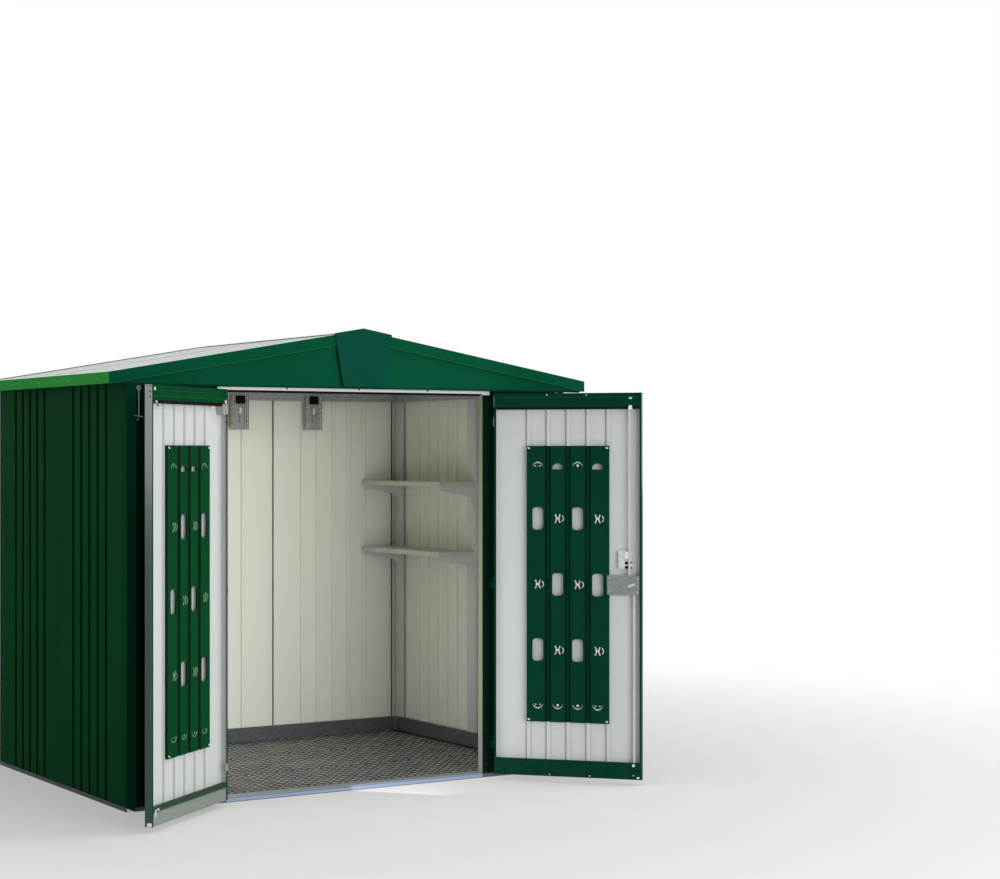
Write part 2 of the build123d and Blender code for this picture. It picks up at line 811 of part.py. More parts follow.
def door_leaf(side, angle):
    """The ribbed outer sheet of a leaf, folded round along its upright edges."""
    outline = folded_sheet(
        door_hinge_gap, leaf_end, door_thick, door_ribs, rib_width, rib_depth, rib_flank, door_lip
    )
    return extrude_outline(
        plan_points(side, outline), door_plan(side, angle, door_bottom), door_top - door_bottom
    )


def door_rail(side, angle, low, high, step, rod_place=None):
    """A channel across the inside of a leaf, open towards the ribs.

    Its head may be stepped back, and a rod may pass through its flanges.
    """
    along_leaf, inwards = door_axes(side, angle)
    start = door_hinge_gap + sheet + fit
    length = leaf_end - sheet - fit - start
    near = rib_back + fit
    head = lip_inside - step
    shoulder = high - rail_step_height
    outer = [(near, low), (lip_inside, low), (lip_inside, shoulder), (head, shoulder), (head, high)]
    inner = [
        (near, high - sheet), (head - sheet, high - sheet), (head - sheet, shoulder - sheet),
        (lip_inside - sheet, shoulder - sheet), (lip_inside - sheet, low + sheet), (near, low + sheet),
    ]
    if not step:
        outer = [point for point in outer if point[1] != shoulder]
        inner = [point for point in inner if point[1] != shoulder - sheet]
    origin = Vector(side * hinge_x, hinge_y, 0) + along_leaf * start
    plane = Plane(origin=origin, x_dir=inwards, z_dir=inwards.cross(Vector(0, 0, 1)))
    with BuildPart() as rail:
        add(extrude_outline(outer + [(near, high)] + inner, plane, length if side < 0 else -length))
        if rod_place is not None:
            with BuildSketch(door_plan(side, angle, low)):
                with Locations((rod_place, -side * rod_depth)):
                    Rectangle(rod_width + 2 * fit, rod_thick + 2 * fit)
            extrude(amount=high - low, mode=Mode.SUBTRACT)
    return rail.part


def lug_outline():
    """An H-shaped opening whose two tongues hold a hook."""
    with BuildSketch() as lug:
        with GridLocations(lug_width - lug_bar, 1, 2, 1):
            Rectangle(lug_bar, lug_height)
        Rectangle(lug_width, lug_bar)
    return lug.sketch


def arch_outline():
    """An opening with a flat foot and round shoulders."""
    with BuildSketch() as arch:
        Rectangle(arch_width, arch_height)
        fillet(arch.vertices().group_by(Axis.Y)[-1], arch_round)
    return arch.sketch


def slot_outline():
    """A tall slot with round corners."""
    with BuildSketch() as slot:
        RectangleRounded(slot_width, slot_height, slot_corner)
    return slot.sketch


def tool_board(side, angle, arches):
    """A folded board with punched openings, standing on the ribs of the leaf.

    Its grooves rest on the inner ribs, and a slice picks the flats that carry an arched opening.
    """
    start = leaf_middle - board_width / 2
    flats = [place + rib_pitch / 2 for place in door_ribs[:-1]]
    outline = folded_sheet(
        start, start + board_width, board_standoff, door_ribs[1:-1], rib_width,
        board_standoff - sheet, rib_flank,
    )
    points = [(x, board_face - depth) for x, depth in outline]
    arch_row = board_bottom + board_height - arch_drop
    slot_space = arch_row - slot_height - board_bottom - slot_first
    with BuildPart() as board:
        with BuildSketch(door_plan(side, angle, board_bottom)):
            with BuildLine():
                Polyline(*plan_points(side, points), close=True)
            make_face()
        extrude(amount=board_height)
        with BuildSketch(door_face(side, angle, board_face)):
            for row in range(int(slot_space // slot_pitch) + 1):
                height = board_bottom + slot_first + row * slot_pitch
                with Locations(*((x, height) for x in flats[row % 2::2])):
                    add(slot_outline())
                with Locations(*((x, height) for x in flats[1 - row % 2::2])):
                    add(lug_outline())
            with Locations(*((x, arch_row) for x in flats[arches])):
                add(arch_outline())
        extrude(amount=board_standoff / 2, both=True, mode=Mode.SUBTRACT)
    return board.part


def hinge_pins(side):
    """Brackets on the front wall that carry the fixed knuckles and their pins."""
    reach = door_thick + swing_gap - fit
    outer_x = -knuckle_radius
    inner_x = outer_x + hinge_plate
    arm = [
        (outer_x, 0), (inner_x, 0), (inner_x, reach), (outer_x - hinge_foot, reach),
        (outer_x - hinge_foot, reach - sheet), (outer_x, reach - sheet),
    ]
    with BuildPart() as pins:
        for height in hinge_heights:
            plan = door_plan(side, 0, height - knuckle_length)
            with BuildSketch(plan):
                with BuildLine():
                    Polyline(*plan_points(side, arm), close=True)
                make_face()
                Circle(knuckle_radius)
            extrude(amount=knuckle_length)
            with BuildSketch(plan):
                Circle(pin_radius)
            extrude(amount=2 * knuckle_length)
    return pins.part


def door_hinges(side, angle):
    """Knuckles on a leaf that drop over the pins."""
    tab_root = (pin_radius + knuckle_radius) / 2
    tab = [
        (tab_root, 0), (door_hinge_gap - fit, 0), (door_hinge_gap - fit, door_thick - fit),
        (door_hinge_gap - fit - sheet, door_thick - fit), (door_hinge_gap - fit - sheet, hinge_plate),
        (tab_root, hinge_plate),
    ]
    with BuildPart() as hinges:
        for height in hinge_heights:
            with BuildSketch(door_plan(side, angle, height + fit)):
                Circle(knuckle_radius)
                with BuildLine():
                    Polyline(*plan_points(side, tab), close=True)
                make_face()
                Circle(pin_radius + pin_clearance, mode=Mode.SUBTRACT)
            extrude(amount=knuckle_length)
    return hinges.part


def door_block(side, angle, start, end, near, far, low, high):
    """A plain block on the inside of a leaf, between two places and two depths."""
    with BuildPart() as block:
        with BuildSketch(door_plan(side, angle, low)):
            with Locations(((start + end) / 2, -side * (near + far) / 2)):
                Rectangle(end - start, far - near)
        extrude(amount=high - low)
    return block.part


def door_point(side, angle, place, depth, height):
    """A point on a leaf from its place along it, its depth and its height."""
    along_leaf, inwards = door_axes(side, angle)
    return Vector(side * hinge_x, hinge_y, height) + along_leaf * place + inwards * depth


def lock_crank(side, angle):
    """The lever on the band plate that the two rods hang on, with its pivot through the plate."""
    front = door_face(side, angle, lip_inside + fit)
    with BuildPart() as crank:
        with BuildSketch(front):
            with Locations((crank_x, crank_height)):
                SlotOverall(crank_length, crank_width, rotation=crank_lean)
        extrude(amount=side * sheet)
        with BuildSketch(front):
            with Locations((crank_x, crank_height)):
                RegularPolygon(pivot_radius, pivot_sides)
        extrude(amount=-side * (lip_inside - rod_depth - rod_thick / 2))
    return crank.part


def turning_knob(side, angle):
    """The knob on the outer face: a rose, a neck and a grip."""
    middle = knob_reach / 2
    plates = ((knob_rose, 0, sheet), (knob_neck, sheet, middle), (knob_radius, middle, knob_reach))
    with BuildPart() as knob:
        for radius, low, high in plates:
            plane = Plane(
                origin=door_point(side, angle, crank_x, -fit - low, knob_height),
                z_dir=door_axes(side, angle)[1] * -1,
            )
            with BuildSketch(plane):
                RegularPolygon(radius, knob_sides)
            extrude(amount=high - low)
    return knob.part


doors = (
    ("left", -1, left_door_angle, slice(1, -1)),
    ("right", 1, right_door_angle, slice(1, None, 2)),
)
crank_x = leaf_end - crank_place
upper_rod_x = crank_x - crank_throw
lower_rod_x = crank_x + crank_throw
for name, side, angle, arches in doors:
    rods = (upper_rod_x, lower_rod_x) if name == "right" else (None, None)
    top_rail_low = door_top - door_rail_height
    bottom_rail_high = door_bottom + door_rail_height
    save(f"{name}_door_leaf", door_leaf(side, angle))
    save(
        f"{name}_door_top_rail",
        door_rail(side, angle, top_rail_low, door_top, rail_step_depth, rods[0]),
    )
    save(
        f"{name}_door_bottom_rail",
        door_rail(side, angle, door_bottom, bottom_rail_high, 0, rods[1]),
    )
    save(f"{name}_door_tool_board", tool_board(side, angle, arches))
    save(f"{name}_door_hinges", door_hinges(side, angle))
    save(f"hinge_pins_{name}", hinge_pins(side))

# The lock, on the right door
lock = (1, right_door_angle)
rod_near = rod_depth - rod_thick / 2
rod_far = rod_depth + rod_thick / 2
band_near = lip_inside - sheet
case_x = leaf_end - lock_case_place
rods = []
for x, low, high in (
    (upper_rod_x, crank_height - crank_width / 2, door_top),
    (lower_rod_x, door_bottom, crank_height + crank_width / 2),
):
    rods.append(door_block(*lock, x - rod_width / 2, x + rod_width / 2, rod_near, rod_far, low, high))
save("right_door_lock_rods", *rods, lock_crank(*lock))

with BuildPart() as case:
    add(
        door_block(
            *lock, case_x - lock_case_width / 2, case_x + lock_case_width / 2, sheet + fit,
            sheet + fit + lock_case_depth, lock_case_bottom, lock_case_bottom + lock_case_height,
        )
    )
save("right_door_lock_case", case.part)

with BuildPart() as band:
    add(
        door_block(
            *lock, leaf_end - band_start, leaf_end - band_end, band_near, lip_inside,
            crank_height - band_height / 2, crank_height + band_height / 2,
        )
    )
    with BuildSketch(door_face(*lock, lip_inside)):
        with Locations((crank_x, crank_height)):
            RegularPolygon(pivot_radius + fit, pivot_sides)
    extrude(amount=sheet, both=True, mode=Mode.SUBTRACT)
save("right_door_lock_plate", band.part)
save("right_door_knob", turning_knob(*lock))
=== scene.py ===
"""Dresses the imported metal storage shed, with coats, metals and fittings, in a plain studio."""

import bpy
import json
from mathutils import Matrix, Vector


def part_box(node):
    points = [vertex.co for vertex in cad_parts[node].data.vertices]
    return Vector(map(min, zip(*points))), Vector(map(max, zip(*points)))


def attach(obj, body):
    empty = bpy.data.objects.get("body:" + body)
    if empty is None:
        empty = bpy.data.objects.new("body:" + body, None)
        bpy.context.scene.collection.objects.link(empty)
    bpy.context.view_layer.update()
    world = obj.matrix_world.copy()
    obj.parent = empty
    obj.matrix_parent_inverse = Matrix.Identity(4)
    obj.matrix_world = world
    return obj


bl_info = {
    "name": "Metal storage shed",
    "version": (1, 0, 0),
    "blender": (4, 5, 0),
    "location": "3D View > Sidebar > Shed",
    "description": "Dresses a packed metal storage shed with its finishes, fasteners and fittings",
    "category": "Object",
}

import json
from math import cos, pi, radians, sin

import bmesh
import bpy
from bpy.props import FloatProperty, FloatVectorProperty, IntProperty, PointerProperty
from mathutils import Matrix, Vector

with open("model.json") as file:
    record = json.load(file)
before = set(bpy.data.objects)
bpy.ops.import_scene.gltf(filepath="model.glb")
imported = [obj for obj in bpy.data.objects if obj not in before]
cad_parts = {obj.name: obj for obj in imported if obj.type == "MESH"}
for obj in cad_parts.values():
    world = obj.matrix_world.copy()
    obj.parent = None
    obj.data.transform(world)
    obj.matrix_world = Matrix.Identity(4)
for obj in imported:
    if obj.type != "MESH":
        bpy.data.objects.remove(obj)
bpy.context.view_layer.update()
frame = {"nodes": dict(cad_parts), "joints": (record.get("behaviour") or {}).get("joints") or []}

UP = Vector((0, 0, 1))
FRONT = Vector((0, -1, 0))
HALF_TURN = Matrix.Rotation(pi, 4, "Z")
MM = 0.001


# Settings
def srgb(red, green, blue):
    """A colour as a screen shows it, from 0 to 255, as Blender's linear values."""
    levels = (red / 255, green / 255, blue / 255)
    return tuple(x / 12.92 if x <= 0.04045 else ((x + 0.055) / 1.055) ** 2.4 for x in levels)


def colour(name, description, *levels):
    """A colour setting, from three levels of 0 to 255."""
    return FloatVectorProperty(
        name=name, description=description, subtype="COLOR", size=3, min=0, max=1,
        default=srgb(*levels),
    )


def number(name, description, default, **limits):
    """A plain setting."""
    return FloatProperty(name=name, description=description, default=default, **limits)


def share(name, description, default):
    """A setting from 0 to 1."""
    return number(name, description, default, min=0, max=1)


def length(name, description, millimetres):
    """A length setting, given in millimetres and kept in metres."""
    return number(name, description, millimetres * MM, unit="LENGTH", min=0)


def power(name, description, watts):
    """The power of a lamp."""
    return number(name, description, watts, subtype="POWER", min=0)


def count(name, description, default):
    """A whole number."""
    return IntProperty(name=name, description=description, min=2, default=default)


class ShedColours(bpy.types.PropertyGroup):
    outer_coat: colour("Outer coat", "Coat on the outside of the roof and gables", 9, 78, 52)
    # The wall lining is the door lining's pale coat made lighter, to paint in light that the inside
    # of the shed lacks: painted light.
    wall_lining: colour("Wall lining", "Pale coat inside the walls and roof", 240, 243, 230)
    # The jamb lining is the pale lining made duller, because the jambs' inner faces lie in shade:
    # painted shade.
    jamb_lining: colour("Jamb lining", "Duller inside of the jambs", 172, 174, 159)
    leaf_lining: colour("Leaf lining", "Pale coat on the inside of the doors", 208, 212, 211)
    # The door coat is the outer green made darker, because the doors stand in shade: painted shade.
    door_coat: colour("Door coat", "Green coat of the doors", 10, 60, 43)
    # The eave coat is the outer green made much brighter, where sun falls on the eave strips:
    # painted sunlight.
    eave_coat: colour("Eave coat", "Brighter green of the eave strips", 66, 188, 88)
    wall_coat: colour("Wall coat", "Green of the side and back walls", 15, 84, 46)
    # The sunny coat is the door green made brighter, where sun falls on the left door's rail and
    # board: painted sunlight.
    sunny_coat: colour("Sunny coat", "Green of the left door's top rail and board", 12, 70, 38)
    # The front coat is the outer green made deeper, where the front walls and jambs lie in shade:
    # painted shade.
    front_coat: colour("Front coat", "Deeper green of the front walls and jambs", 6, 35, 28)
    # The fold highlight is a pale green for thin wires along the folds: painted highlights.
    fold_coat: colour("Fold highlight", "Green of the pressed lines in the strips", 38, 100, 62)
    plate_coat: colour("Plate coat", "Bluish green of the gable's centre plate", 12, 72, 58)
    dust: colour("Dust", "Dust on the sheets", 150, 144, 132)
    zinc: colour("Galvanised steel", "Frame parts, hooks and hangers", 172, 174, 173)
    shelf_zinc: colour("Shelf zinc", "Shelves", 204, 202, 192)
    upright_zinc: colour("Bright zinc", "Shelf uprights and their brackets", 214, 215, 219)
    rod_coat: colour("Rod coat", "Pale coat of the lock rods", 206, 208, 207)
    # The base zinc is the galvanised zinc made darker, because the base rails lie in shade: painted
    # shade.
    base_zinc: colour("Weathered zinc", "Base rails", 104, 108, 110)
    band_zinc: colour("Brushed band", "Plate across the lock", 138, 144, 140)
    sill_top: colour("Sill top", "Tread of the sill", 158, 166, 180)
    sill_face: colour("Sill face", "Bluish front of the sill", 168, 186, 218)
    aluminium: colour("Aluminium", "Lintel", 226, 230, 233)
    chequer: colour("Chequer plate", "Floor plates between the lenses", 60, 55, 58)
    # The lens colour is a pale grey on the crowns of the lenses: a painted highlight.
    lens: colour("Lens crowns with painted highlight", "Raised lenses of the floor plates", 206, 204, 208)
    black_moulding: colour("Black moulding", "Knob and lock parts", 18, 18, 18)
    white_moulding: colour("White moulding", "Corner caps and rod guides", 236, 238, 236)
    seal: colour("Seal", "Rubber strips round the doorway", 10, 12, 12)


class ShedCoat(bpy.types.PropertyGroup):
    roughness: share("Coat roughness", "Roughness of the coated sheets", 0.32)
    specular: share("Coat specular", "Strength of the coat's reflection", 0.003)
    sheen_from: share("Sheen from", "How far a sheet turns away before it mirrors", 0.84)
    sheen: share("Sheen", "How much a sheet mirrors when it is seen edge on", 1.0)
    eave_sheen: share("Eave sheen from", "The same for the eave strips", 0.9)
    polished_index: number(
        "Polished index", "How strongly the polished edges of the doors mirror", 3.0, min=1, max=4
    )
    ripple_size: length("Ripple size", "Width of the soft waves in a pressed sheet", 260)
    ripple_height: length("Ripple height", "Height of the soft waves in a pressed sheet", 0.35)
    peel_size: length("Peel size", "Width of the grain in the coat", 1.6)
    peel_height: length("Peel height", "Height of the grain in the coat", 0.004)
    dust: share("Dust", "How much dust lies on the sheets", 0.05)
    dust_reach: length("Dust reach", "Height of the dusty zone above the ground", 240)
    edge_radius: length("Edge radius", "Radius on the folds and edges of the sheets", 0.7)


class ShedFasteners(bpy.types.PropertyGroup):
    screw_radius: length("Screw radius", "Radius of a screw's head", 4.2)
    screw_height: length("Screw height", "Height of a screw's head", 2.4)
    rivet_radius: length("Rivet radius", "Radius of a rivet's head", 3)
    head_sides: count("Head sides", "Sides of a round head", 16)
    doorway_pitch: length("Doorway pitch", "Distance between screws round the doorway", 363)
    sill_inset: length("Sill inset", "Screws back from the front of the sill", 12)
    lintel_rise: length("Lintel rise", "Screws above the foot of the lintel", 16)
    eave_rivets: count("Eave rivets", "Rivets in each eave strip", 5)
    eave_inset: length("Eave inset", "Rivets in from the ends of an eave strip", 120)
    eave_rise: length("Eave rise", "Rivets above the foot of an eave strip", 22)


class ShedChequer(bpy.types.PropertyGroup):
    pitch: length("Chequer pitch", "Distance between two raised lenses", 40)
    lens_length: length("Lens length", "Length of a raised lens", 37)
    lens_width: length("Lens width", "Width of a raised lens", 11)
    lens_height: length("Lens height", "Height of a raised lens", 2)
    margin: length("Plain margin", "Plain edge round each floor plate", 5)


class ShedBoards(bpy.types.PropertyGroup):
    rib_pitch: length("Rib pitch", "Distance between two flats of a board", 93)
    slot_row: length("Slot row", "Lowest row of slots above the foot of a board", 331)
    slot_pitch: length("Slot pitch", "Distance between two rows of slots", 302)
    head_row: length("Head row", "Bridges below the head of a board", 96)
    foot_row: length("Foot row", "Bridges above the foot of a board", 83)
    bridge_radius: length("Bridge radius", "Radius of the pressed bridges on a board", 24)
    bridge_wire: length("Bridge thickness", "Half of a bridge's width at its crown", 3.4)
    hole_radius: length("Dot radius", "Radius of the small dots at the bridges", 3.6)
    lug_height: length("Lug height", "Height of an H of tongues", 38)
    lug_wire: length("Lug thickness", "Half thickness of a tongue", 3.3)
    bow_gap: length("Bow gap", "From the middle of a lug to its bow", 27)
    clip_inset: length("Clip inset", "Clips in from the corners of a board", 10)


class ShedCamera(bpy.types.PropertyGroup):
    place: FloatVectorProperty(
        name="Camera place", description="Where the camera stands", subtype="XYZ", unit="LENGTH",
        size=3, default=(-4.5707, -8.7174, 1.5245),
    )
    turn: number(
        "Camera turn", "How far the camera turns to the right of the back wall", radians(31.04),
        subtype="ANGLE",
    )
    lens: number("Lens", "Focal length", 73.64, subtype="DISTANCE_CAMERA", min=1)
    shift_x: number("Shift x", "Sideways shift of the view", 0.100)
    shift_y: number("Shift y", "Upward shift of the view", 0.01016)


class ShedStudio(bpy.types.PropertyGroup):
    ambient: number("Ambient", "Strength of the light from all round", 0.24, min=0)
    fill: power("Front light", "Power of the broad light in front", 845)
    key: power("Side light", "Power of the soft light on the right", 130)
    top: power("Top light", "Power of the broad light overhead", 180)
    inner: power("Doorway light", "Power of the soft light that shines in at the doorway", 4.2)
    floor: colour("Floor", "Plain floor of the studio", 240, 240, 238)
    floor_lift: share("Floor lift", "How far the floor near the shed is faded to white", 0.3)
    clear_from: length("Clear from", "Distance at which the floor starts to fade to white", 1700)
    clear_to: length("Clear to", "Distance at which the floor is white", 5600)


SETTINGS = (
    ("shed_colours", ShedColours),
    ("shed_coat", ShedCoat),
    ("shed_fasteners", ShedFasteners),
    ("shed_chequer", ShedChequer),
    ("shed_boards", ShedBoards),
    ("shed_camera", ShedCamera),
    ("shed_studio", ShedStudio),
)


def palette(setting):
    """One of the colour settings."""
    return tuple(getattr(bpy.context.scene.shed_colours, setting))


def tint(base, factor):
    """A colour made darker or lighter."""
    return tuple(min(channel * factor, 1) for channel in base)


def grey(level):
    return (level, level, level)


# Shader graphs
class Graph:
    """Adds linked nodes to the tree of a material or a group."""

    def __init__(self, tree):
        self.tree = tree

    def add(self, kind, **settings):
        node = self.tree.nodes.new(kind)
        for name, value in settings.items():
            setattr(node, name, value)
        return node

    def find(self, kind):
        """The node of a kind that a new tree comes with."""
        return next(node for node in self.tree.nodes if node.type == kind)

    def feed(self, socket, value):
        if isinstance(value, bpy.types.NodeSocket):
            self.tree.links.new(value, socket)
        else:
            socket.default_value = value

    def fill(self, node, **values):
        """Feeds the named inputs of a node; an underscore in a name stands for a space."""
        for name, value in values.items():
            self.feed(node.inputs[name.replace("_", " ")], value)
        return node.outputs

    def use(self, group, **values):
        """Places a shader node group with its own values."""
        return self.fill(self.add("ShaderNodeGroup", node_tree=group), **values)

    def math(self, operation, *values, clamp=False):
        node = self.add("ShaderNodeMath", operation=operation, use_clamp=clamp)
        for socket, value in zip(node.inputs, values):
            self.feed(socket, value)
        return node.outputs["Value"]

    def times(self, first, second):
        return self.math("MULTIPLY", first, second)

    def vector(self, operation, *values):
        node = self.add("ShaderNodeVectorMath", operation=operation)
        for socket, value in zip(node.inputs, values):
            self.feed(socket, value)
        return node.outputs["Value" if operation in ("DOT_PRODUCT", "LENGTH") else "Vector"]

    def dot(self, first, second):
        return self.vector("DOT_PRODUCT", first, second)

    def facing(self, direction):
        """How far the surface faces in a direction."""
        return self.dot(self.add("ShaderNodeTexCoord").outputs["Normal"], direction)

    def span(self, value, low, high, start=0.0, end=1.0):
        """Maps a value from one range onto another, held at its ends."""
        return self.fill(
            self.add("ShaderNodeMapRange", interpolation_type="SMOOTHSTEP"),
            Value=value, From_Min=low, From_Max=high, To_Min=start, To_Max=end,
        )["Result"]

    def noise(self, vector, scale, detail=2.0, roughness=0.5):
        return self.fill(
            self.add("ShaderNodeTexNoise"),
            Vector=vector, Scale=scale, Detail=detail, Roughness=roughness,
        )["Fac"]

    def cloud(self, *noise):
        """Noise, spread from 0 to 1."""
        return self.span(self.noise(*noise), 0.3, 0.7)

    def mix(self, factor, first, second, blend="MIX"):
        node = self.add("ShaderNodeMix", data_type="RGBA", blend_type=blend)
        for socket, item in zip([s for s in node.inputs if s.enabled], (factor, first, second)):
            self.feed(socket, (*item, 1.0) if isinstance(item, tuple) else item)
        return next(s for s in node.outputs if s.enabled)

    def bump(self, height):
        return self.fill(
            self.add("ShaderNodeBump"), Strength=1.0, Distance=1.0, Height=height
        )["Normal"]

    def grain(self, vector, scale, detail, height):
        """Fine bumps of a height in metres."""
        return self.bump(self.times(self.noise(vector, scale, detail), height))


def shader_group(name, vectors, values, results):
    """A shader node group with named sockets, its graph, its inputs and the outputs to feed."""
    tree = bpy.data.node_groups.new(name, "ShaderNodeTree")
    for titles, way, kind in (
        (vectors, "INPUT", "Vector"), (values, "INPUT", "Float"), (results, "OUTPUT", "Float")
    ):
        for title in titles:
            tree.interface.new_socket(title, in_out=way, socket_type=f"NodeSocket{kind}")
    graph = Graph(tree)
    return tree, graph, graph.add("NodeGroupInput").outputs, graph.add("NodeGroupOutput").inputs


def once(build):
    """Keeps what a building function returns, so that it is made only once."""
    kept = {}

    def fetch(*key):
        if key not in kept:
            kept[key] = build(*key)
        return kept[key]

    return fetch


@once
def inside_group():
    """Tells the inner side of a sheet from its outer side by the way it faces."""
    tree, graph, source, sink = shader_group("Sheet side", ["Outward"], ["Lean"], ["Inside"])
    low = graph.math("SUBTRACT", source["Lean"], 0.04)
    high = graph.math("ADD", source["Lean"], 0.04)
    graph.feed(sink["Inside"], graph.span(graph.facing(source["Outward"]), low, high, 1.0, 0.0))
    return tree


@once
def fold_shade_group():
    """The flanks of ribs and folds, where a sheet turns away from the way it faces, which the coats
    darken as painted shade.
    """
    tree, graph, source, sink = shader_group("Sheet folds", ["Outward"], [], ["Fold"])
    facing = graph.math("ABSOLUTE", graph.facing(source["Outward"]))
    graph.feed(sink["Fold"], graph.span(facing, 0.8, 0.96, 1.0, 0.0))
    return tree


@once
def coat_group():
    """Soft waves of a pressed sheet and the grain of its coat, as a height and a gloss change."""
    tree, graph, source, sink = shader_group(
        "Coated sheet surface", ["Position"],
        ["Ripple Size", "Ripple Height", "Peel Size", "Peel Height"], ["Height", "Gloss"],
    )
    layers = []
    for name in ("Ripple", "Peel"):
        scale = graph.math("DIVIDE", 1.0, source[f"{name} Size"])
        waves = graph.noise(source["Position"], scale, 1.0)
        layers.append(graph.times(waves, source[f"{name} Height"]))
    graph.feed(sink["Height"], graph.math("ADD", *layers))
    cloud = graph.noise(source["Position"], 5.0, 4.0, 0.6)
    graph.feed(sink["Gloss"], graph.span(cloud, 0.3, 0.7, -0.05, 0.06))
    return tree


@once
def dust_group():
    """Where dust settles: on upper faces, and splashed up from the ground."""
    tree, graph, source, sink = shader_group(
        "Settled dust", ["Position"], ["Reach", "Amount"], ["Dust"]
    )
    position = source["Position"]
    upward = graph.span(graph.facing(UP), 0.5, 0.95)
    foot = graph.span(graph.dot(position, UP), 0.0, source["Reach"], 1.0, 0.0)
    speckle = graph.span(graph.noise(position, 38.0, 6.0, 0.65), 0.42, 0.68)
    cloud = graph.span(graph.noise(position, 3.2, 3.0, 0.5), 0.35, 0.75, 0.3, 1.0)
    lies = graph.math("MAXIMUM", graph.times(upward, 0.7), graph.times(foot, speckle))
    amount = graph.times(graph.times(lies, cloud), source["Amount"])
    graph.feed(sink["Dust"], graph.math("MINIMUM", amount, 1.0))
    return tree


@once
def spangle_group():
    """The crystals of hot-dip zinc, as a brightness change and a roughness change."""
    tree, graph, source, sink = shader_group(
        "Zinc spangle", ["Position"], ["Grain"], ["Tint", "Gloss"]
    )
    warp = graph.noise(source["Position"], 60.0, 2.0)
    cells = graph.fill(
        graph.add("ShaderNodeTexVoronoi"),
        Vector=graph.vector("ADD", source["Position"], grey(4 * MM)),
        Scale=graph.math("DIVIDE", 1.0, source["Grain"]),
    )
    parts = graph.fill(graph.add("ShaderNodeSeparateColor"), Color=cells["Color"])
    smear = graph.times(graph.math("SUBTRACT", warp, 0.5), 0.25)
    tone = graph.math("ADD", graph.span(parts["Red"], 0.0, 1.0, -0.5, 0.5), smear)
    graph.feed(sink["Tint"], tone)
    graph.feed(sink["Gloss"], graph.span(parts["Green"], 0.0, 1.0, -0.07, 0.07))
    return tree


@once
def drawn_group():
    """Fine lines that a rolled or drawn metal keeps along its length."""
    tree, graph, source, sink = shader_group("Drawn metal", ["Position", "Stretch"], [], ["Lines"])
    stretched = graph.vector("MULTIPLY", source["Position"], source["Stretch"])
    graph.feed(sink["Lines"], graph.noise(stretched, 1.0, 4.0, 0.6))
    return tree


# Coats
def new_material(name):
    """An empty material with its graph, its Principled shader and the surface position."""
    material = bpy.data.materials.new(name)
    material.use_nodes = True
    graph = Graph(material.node_tree)
    position = graph.add("ShaderNodeTexCoord").outputs["Object"]
    return material, graph, graph.find("BSDF_PRINCIPLED"), position


def finish_coat(graph, shader, position, tone, sheen_from=None, gloss=None):
    """Dust, waves and grain over a coat's colour, and its sheen; gloss masks the polished faces."""
    coat = bpy.context.scene.shed_coat
    surface = graph.use(
        coat_group(), Position=position, Ripple_Size=coat.ripple_size,
        Ripple_Height=coat.ripple_height, Peel_Size=coat.peel_size, Peel_Height=coat.peel_height,
    )
    dust = graph.use(
        dust_group(), Position=position, Reach=coat.dust_reach, Amount=coat.dust
    )["Dust"]
    rough = graph.math("ADD", surface["Gloss"], coat.roughness)
    away = graph.add("ShaderNodeLayerWeight").outputs["Facing"]
    sheen = graph.span(away, sheen_from or coat.sheen_from, 1.0, 0.0, coat.sheen)
    if gloss is not None:
        sheen = graph.math("MAXIMUM", sheen, graph.math("SUBTRACT", gloss, dust, clamp=True))
        graph.fill(shader, Coat_IOR=coat.polished_index)
    graph.fill(
        shader, Base_Color=graph.mix(dust, tone, palette("dust")),
        Roughness=graph.math("ADD", rough, graph.times(dust, 0.4)),
        Normal=graph.bump(surface["Height"]), Specular_IOR_Level=coat.specular,
        Coat_Weight=sheen, Coat_Roughness=0.12,
    )


def drift(graph, position, setting, amount=0.05):
    """A coat's colour with a slight cloudy change over the sheet."""
    base = palette(setting)
    cloud = graph.cloud(position, 1.7, 3.0, 0.55)
    return graph.mix(cloud, tint(base, 1 - amount), tint(base, 1 + amount))


def lining_tone(graph, position, setting):
    """A pale lining, which changes less over the sheet."""
    return drift(graph, position, setting, 0.02)


@once
def green_coat(name, setting, sheen_from=None):
    """One of the green coats on all sides."""
    material, graph, shader, position = new_material(name)
    finish_coat(graph, shader, position, drift(graph, position, setting), sheen_from)
    return material


# The doors' green: the darker door coat, which is painted shade.
def door_coat():
    return green_coat("Door coat", "door_coat")


@once
def two_tone_coat(name, outward, lean=0.0, setting="outer_coat", lining="wall_lining", folds=False):
    """Green on the side that faces outwards and pale on the other, with painted shade on the flanks
    of ribs and folds if asked.
    """
    material, graph, shader, position = new_material(f"Two-tone coat {name}")
    inside = graph.use(inside_group(), Outward=outward, Lean=lean)["Inside"]
    tone = graph.mix(
        inside, drift(graph, position, setting), lining_tone(graph, position, lining)
    )
    # Darkens the flanks of ribs and folds, much on the green side and a little on the pale side:
    # painted shade.
    if folds:
        fold = graph.use(fold_shade_group(), Outward=outward)["Fold"]
        tone = graph.mix(fold, tone, graph.mix(inside, grey(0.3), grey(0.88)), "MULTIPLY")
    finish_coat(graph, shader, position, tone)
    return material


@once
def corner_coat():
    """Green on the two outer faces of each corner post and pale inside."""
    material, graph, shader, position = new_material("Two-tone coat corner posts")
    away = graph.vector("NORMALIZE", graph.vector("MULTIPLY", position, (1.0, 1.5, 0.0)))
    inside = graph.use(inside_group(), Outward=away, Lean=0.0)["Inside"]
    green = drift(graph, position, "outer_coat")
    pale = lining_tone(graph, position, "wall_lining")
    finish_coat(graph, shader, position, graph.mix(inside, green, pale))
    return material


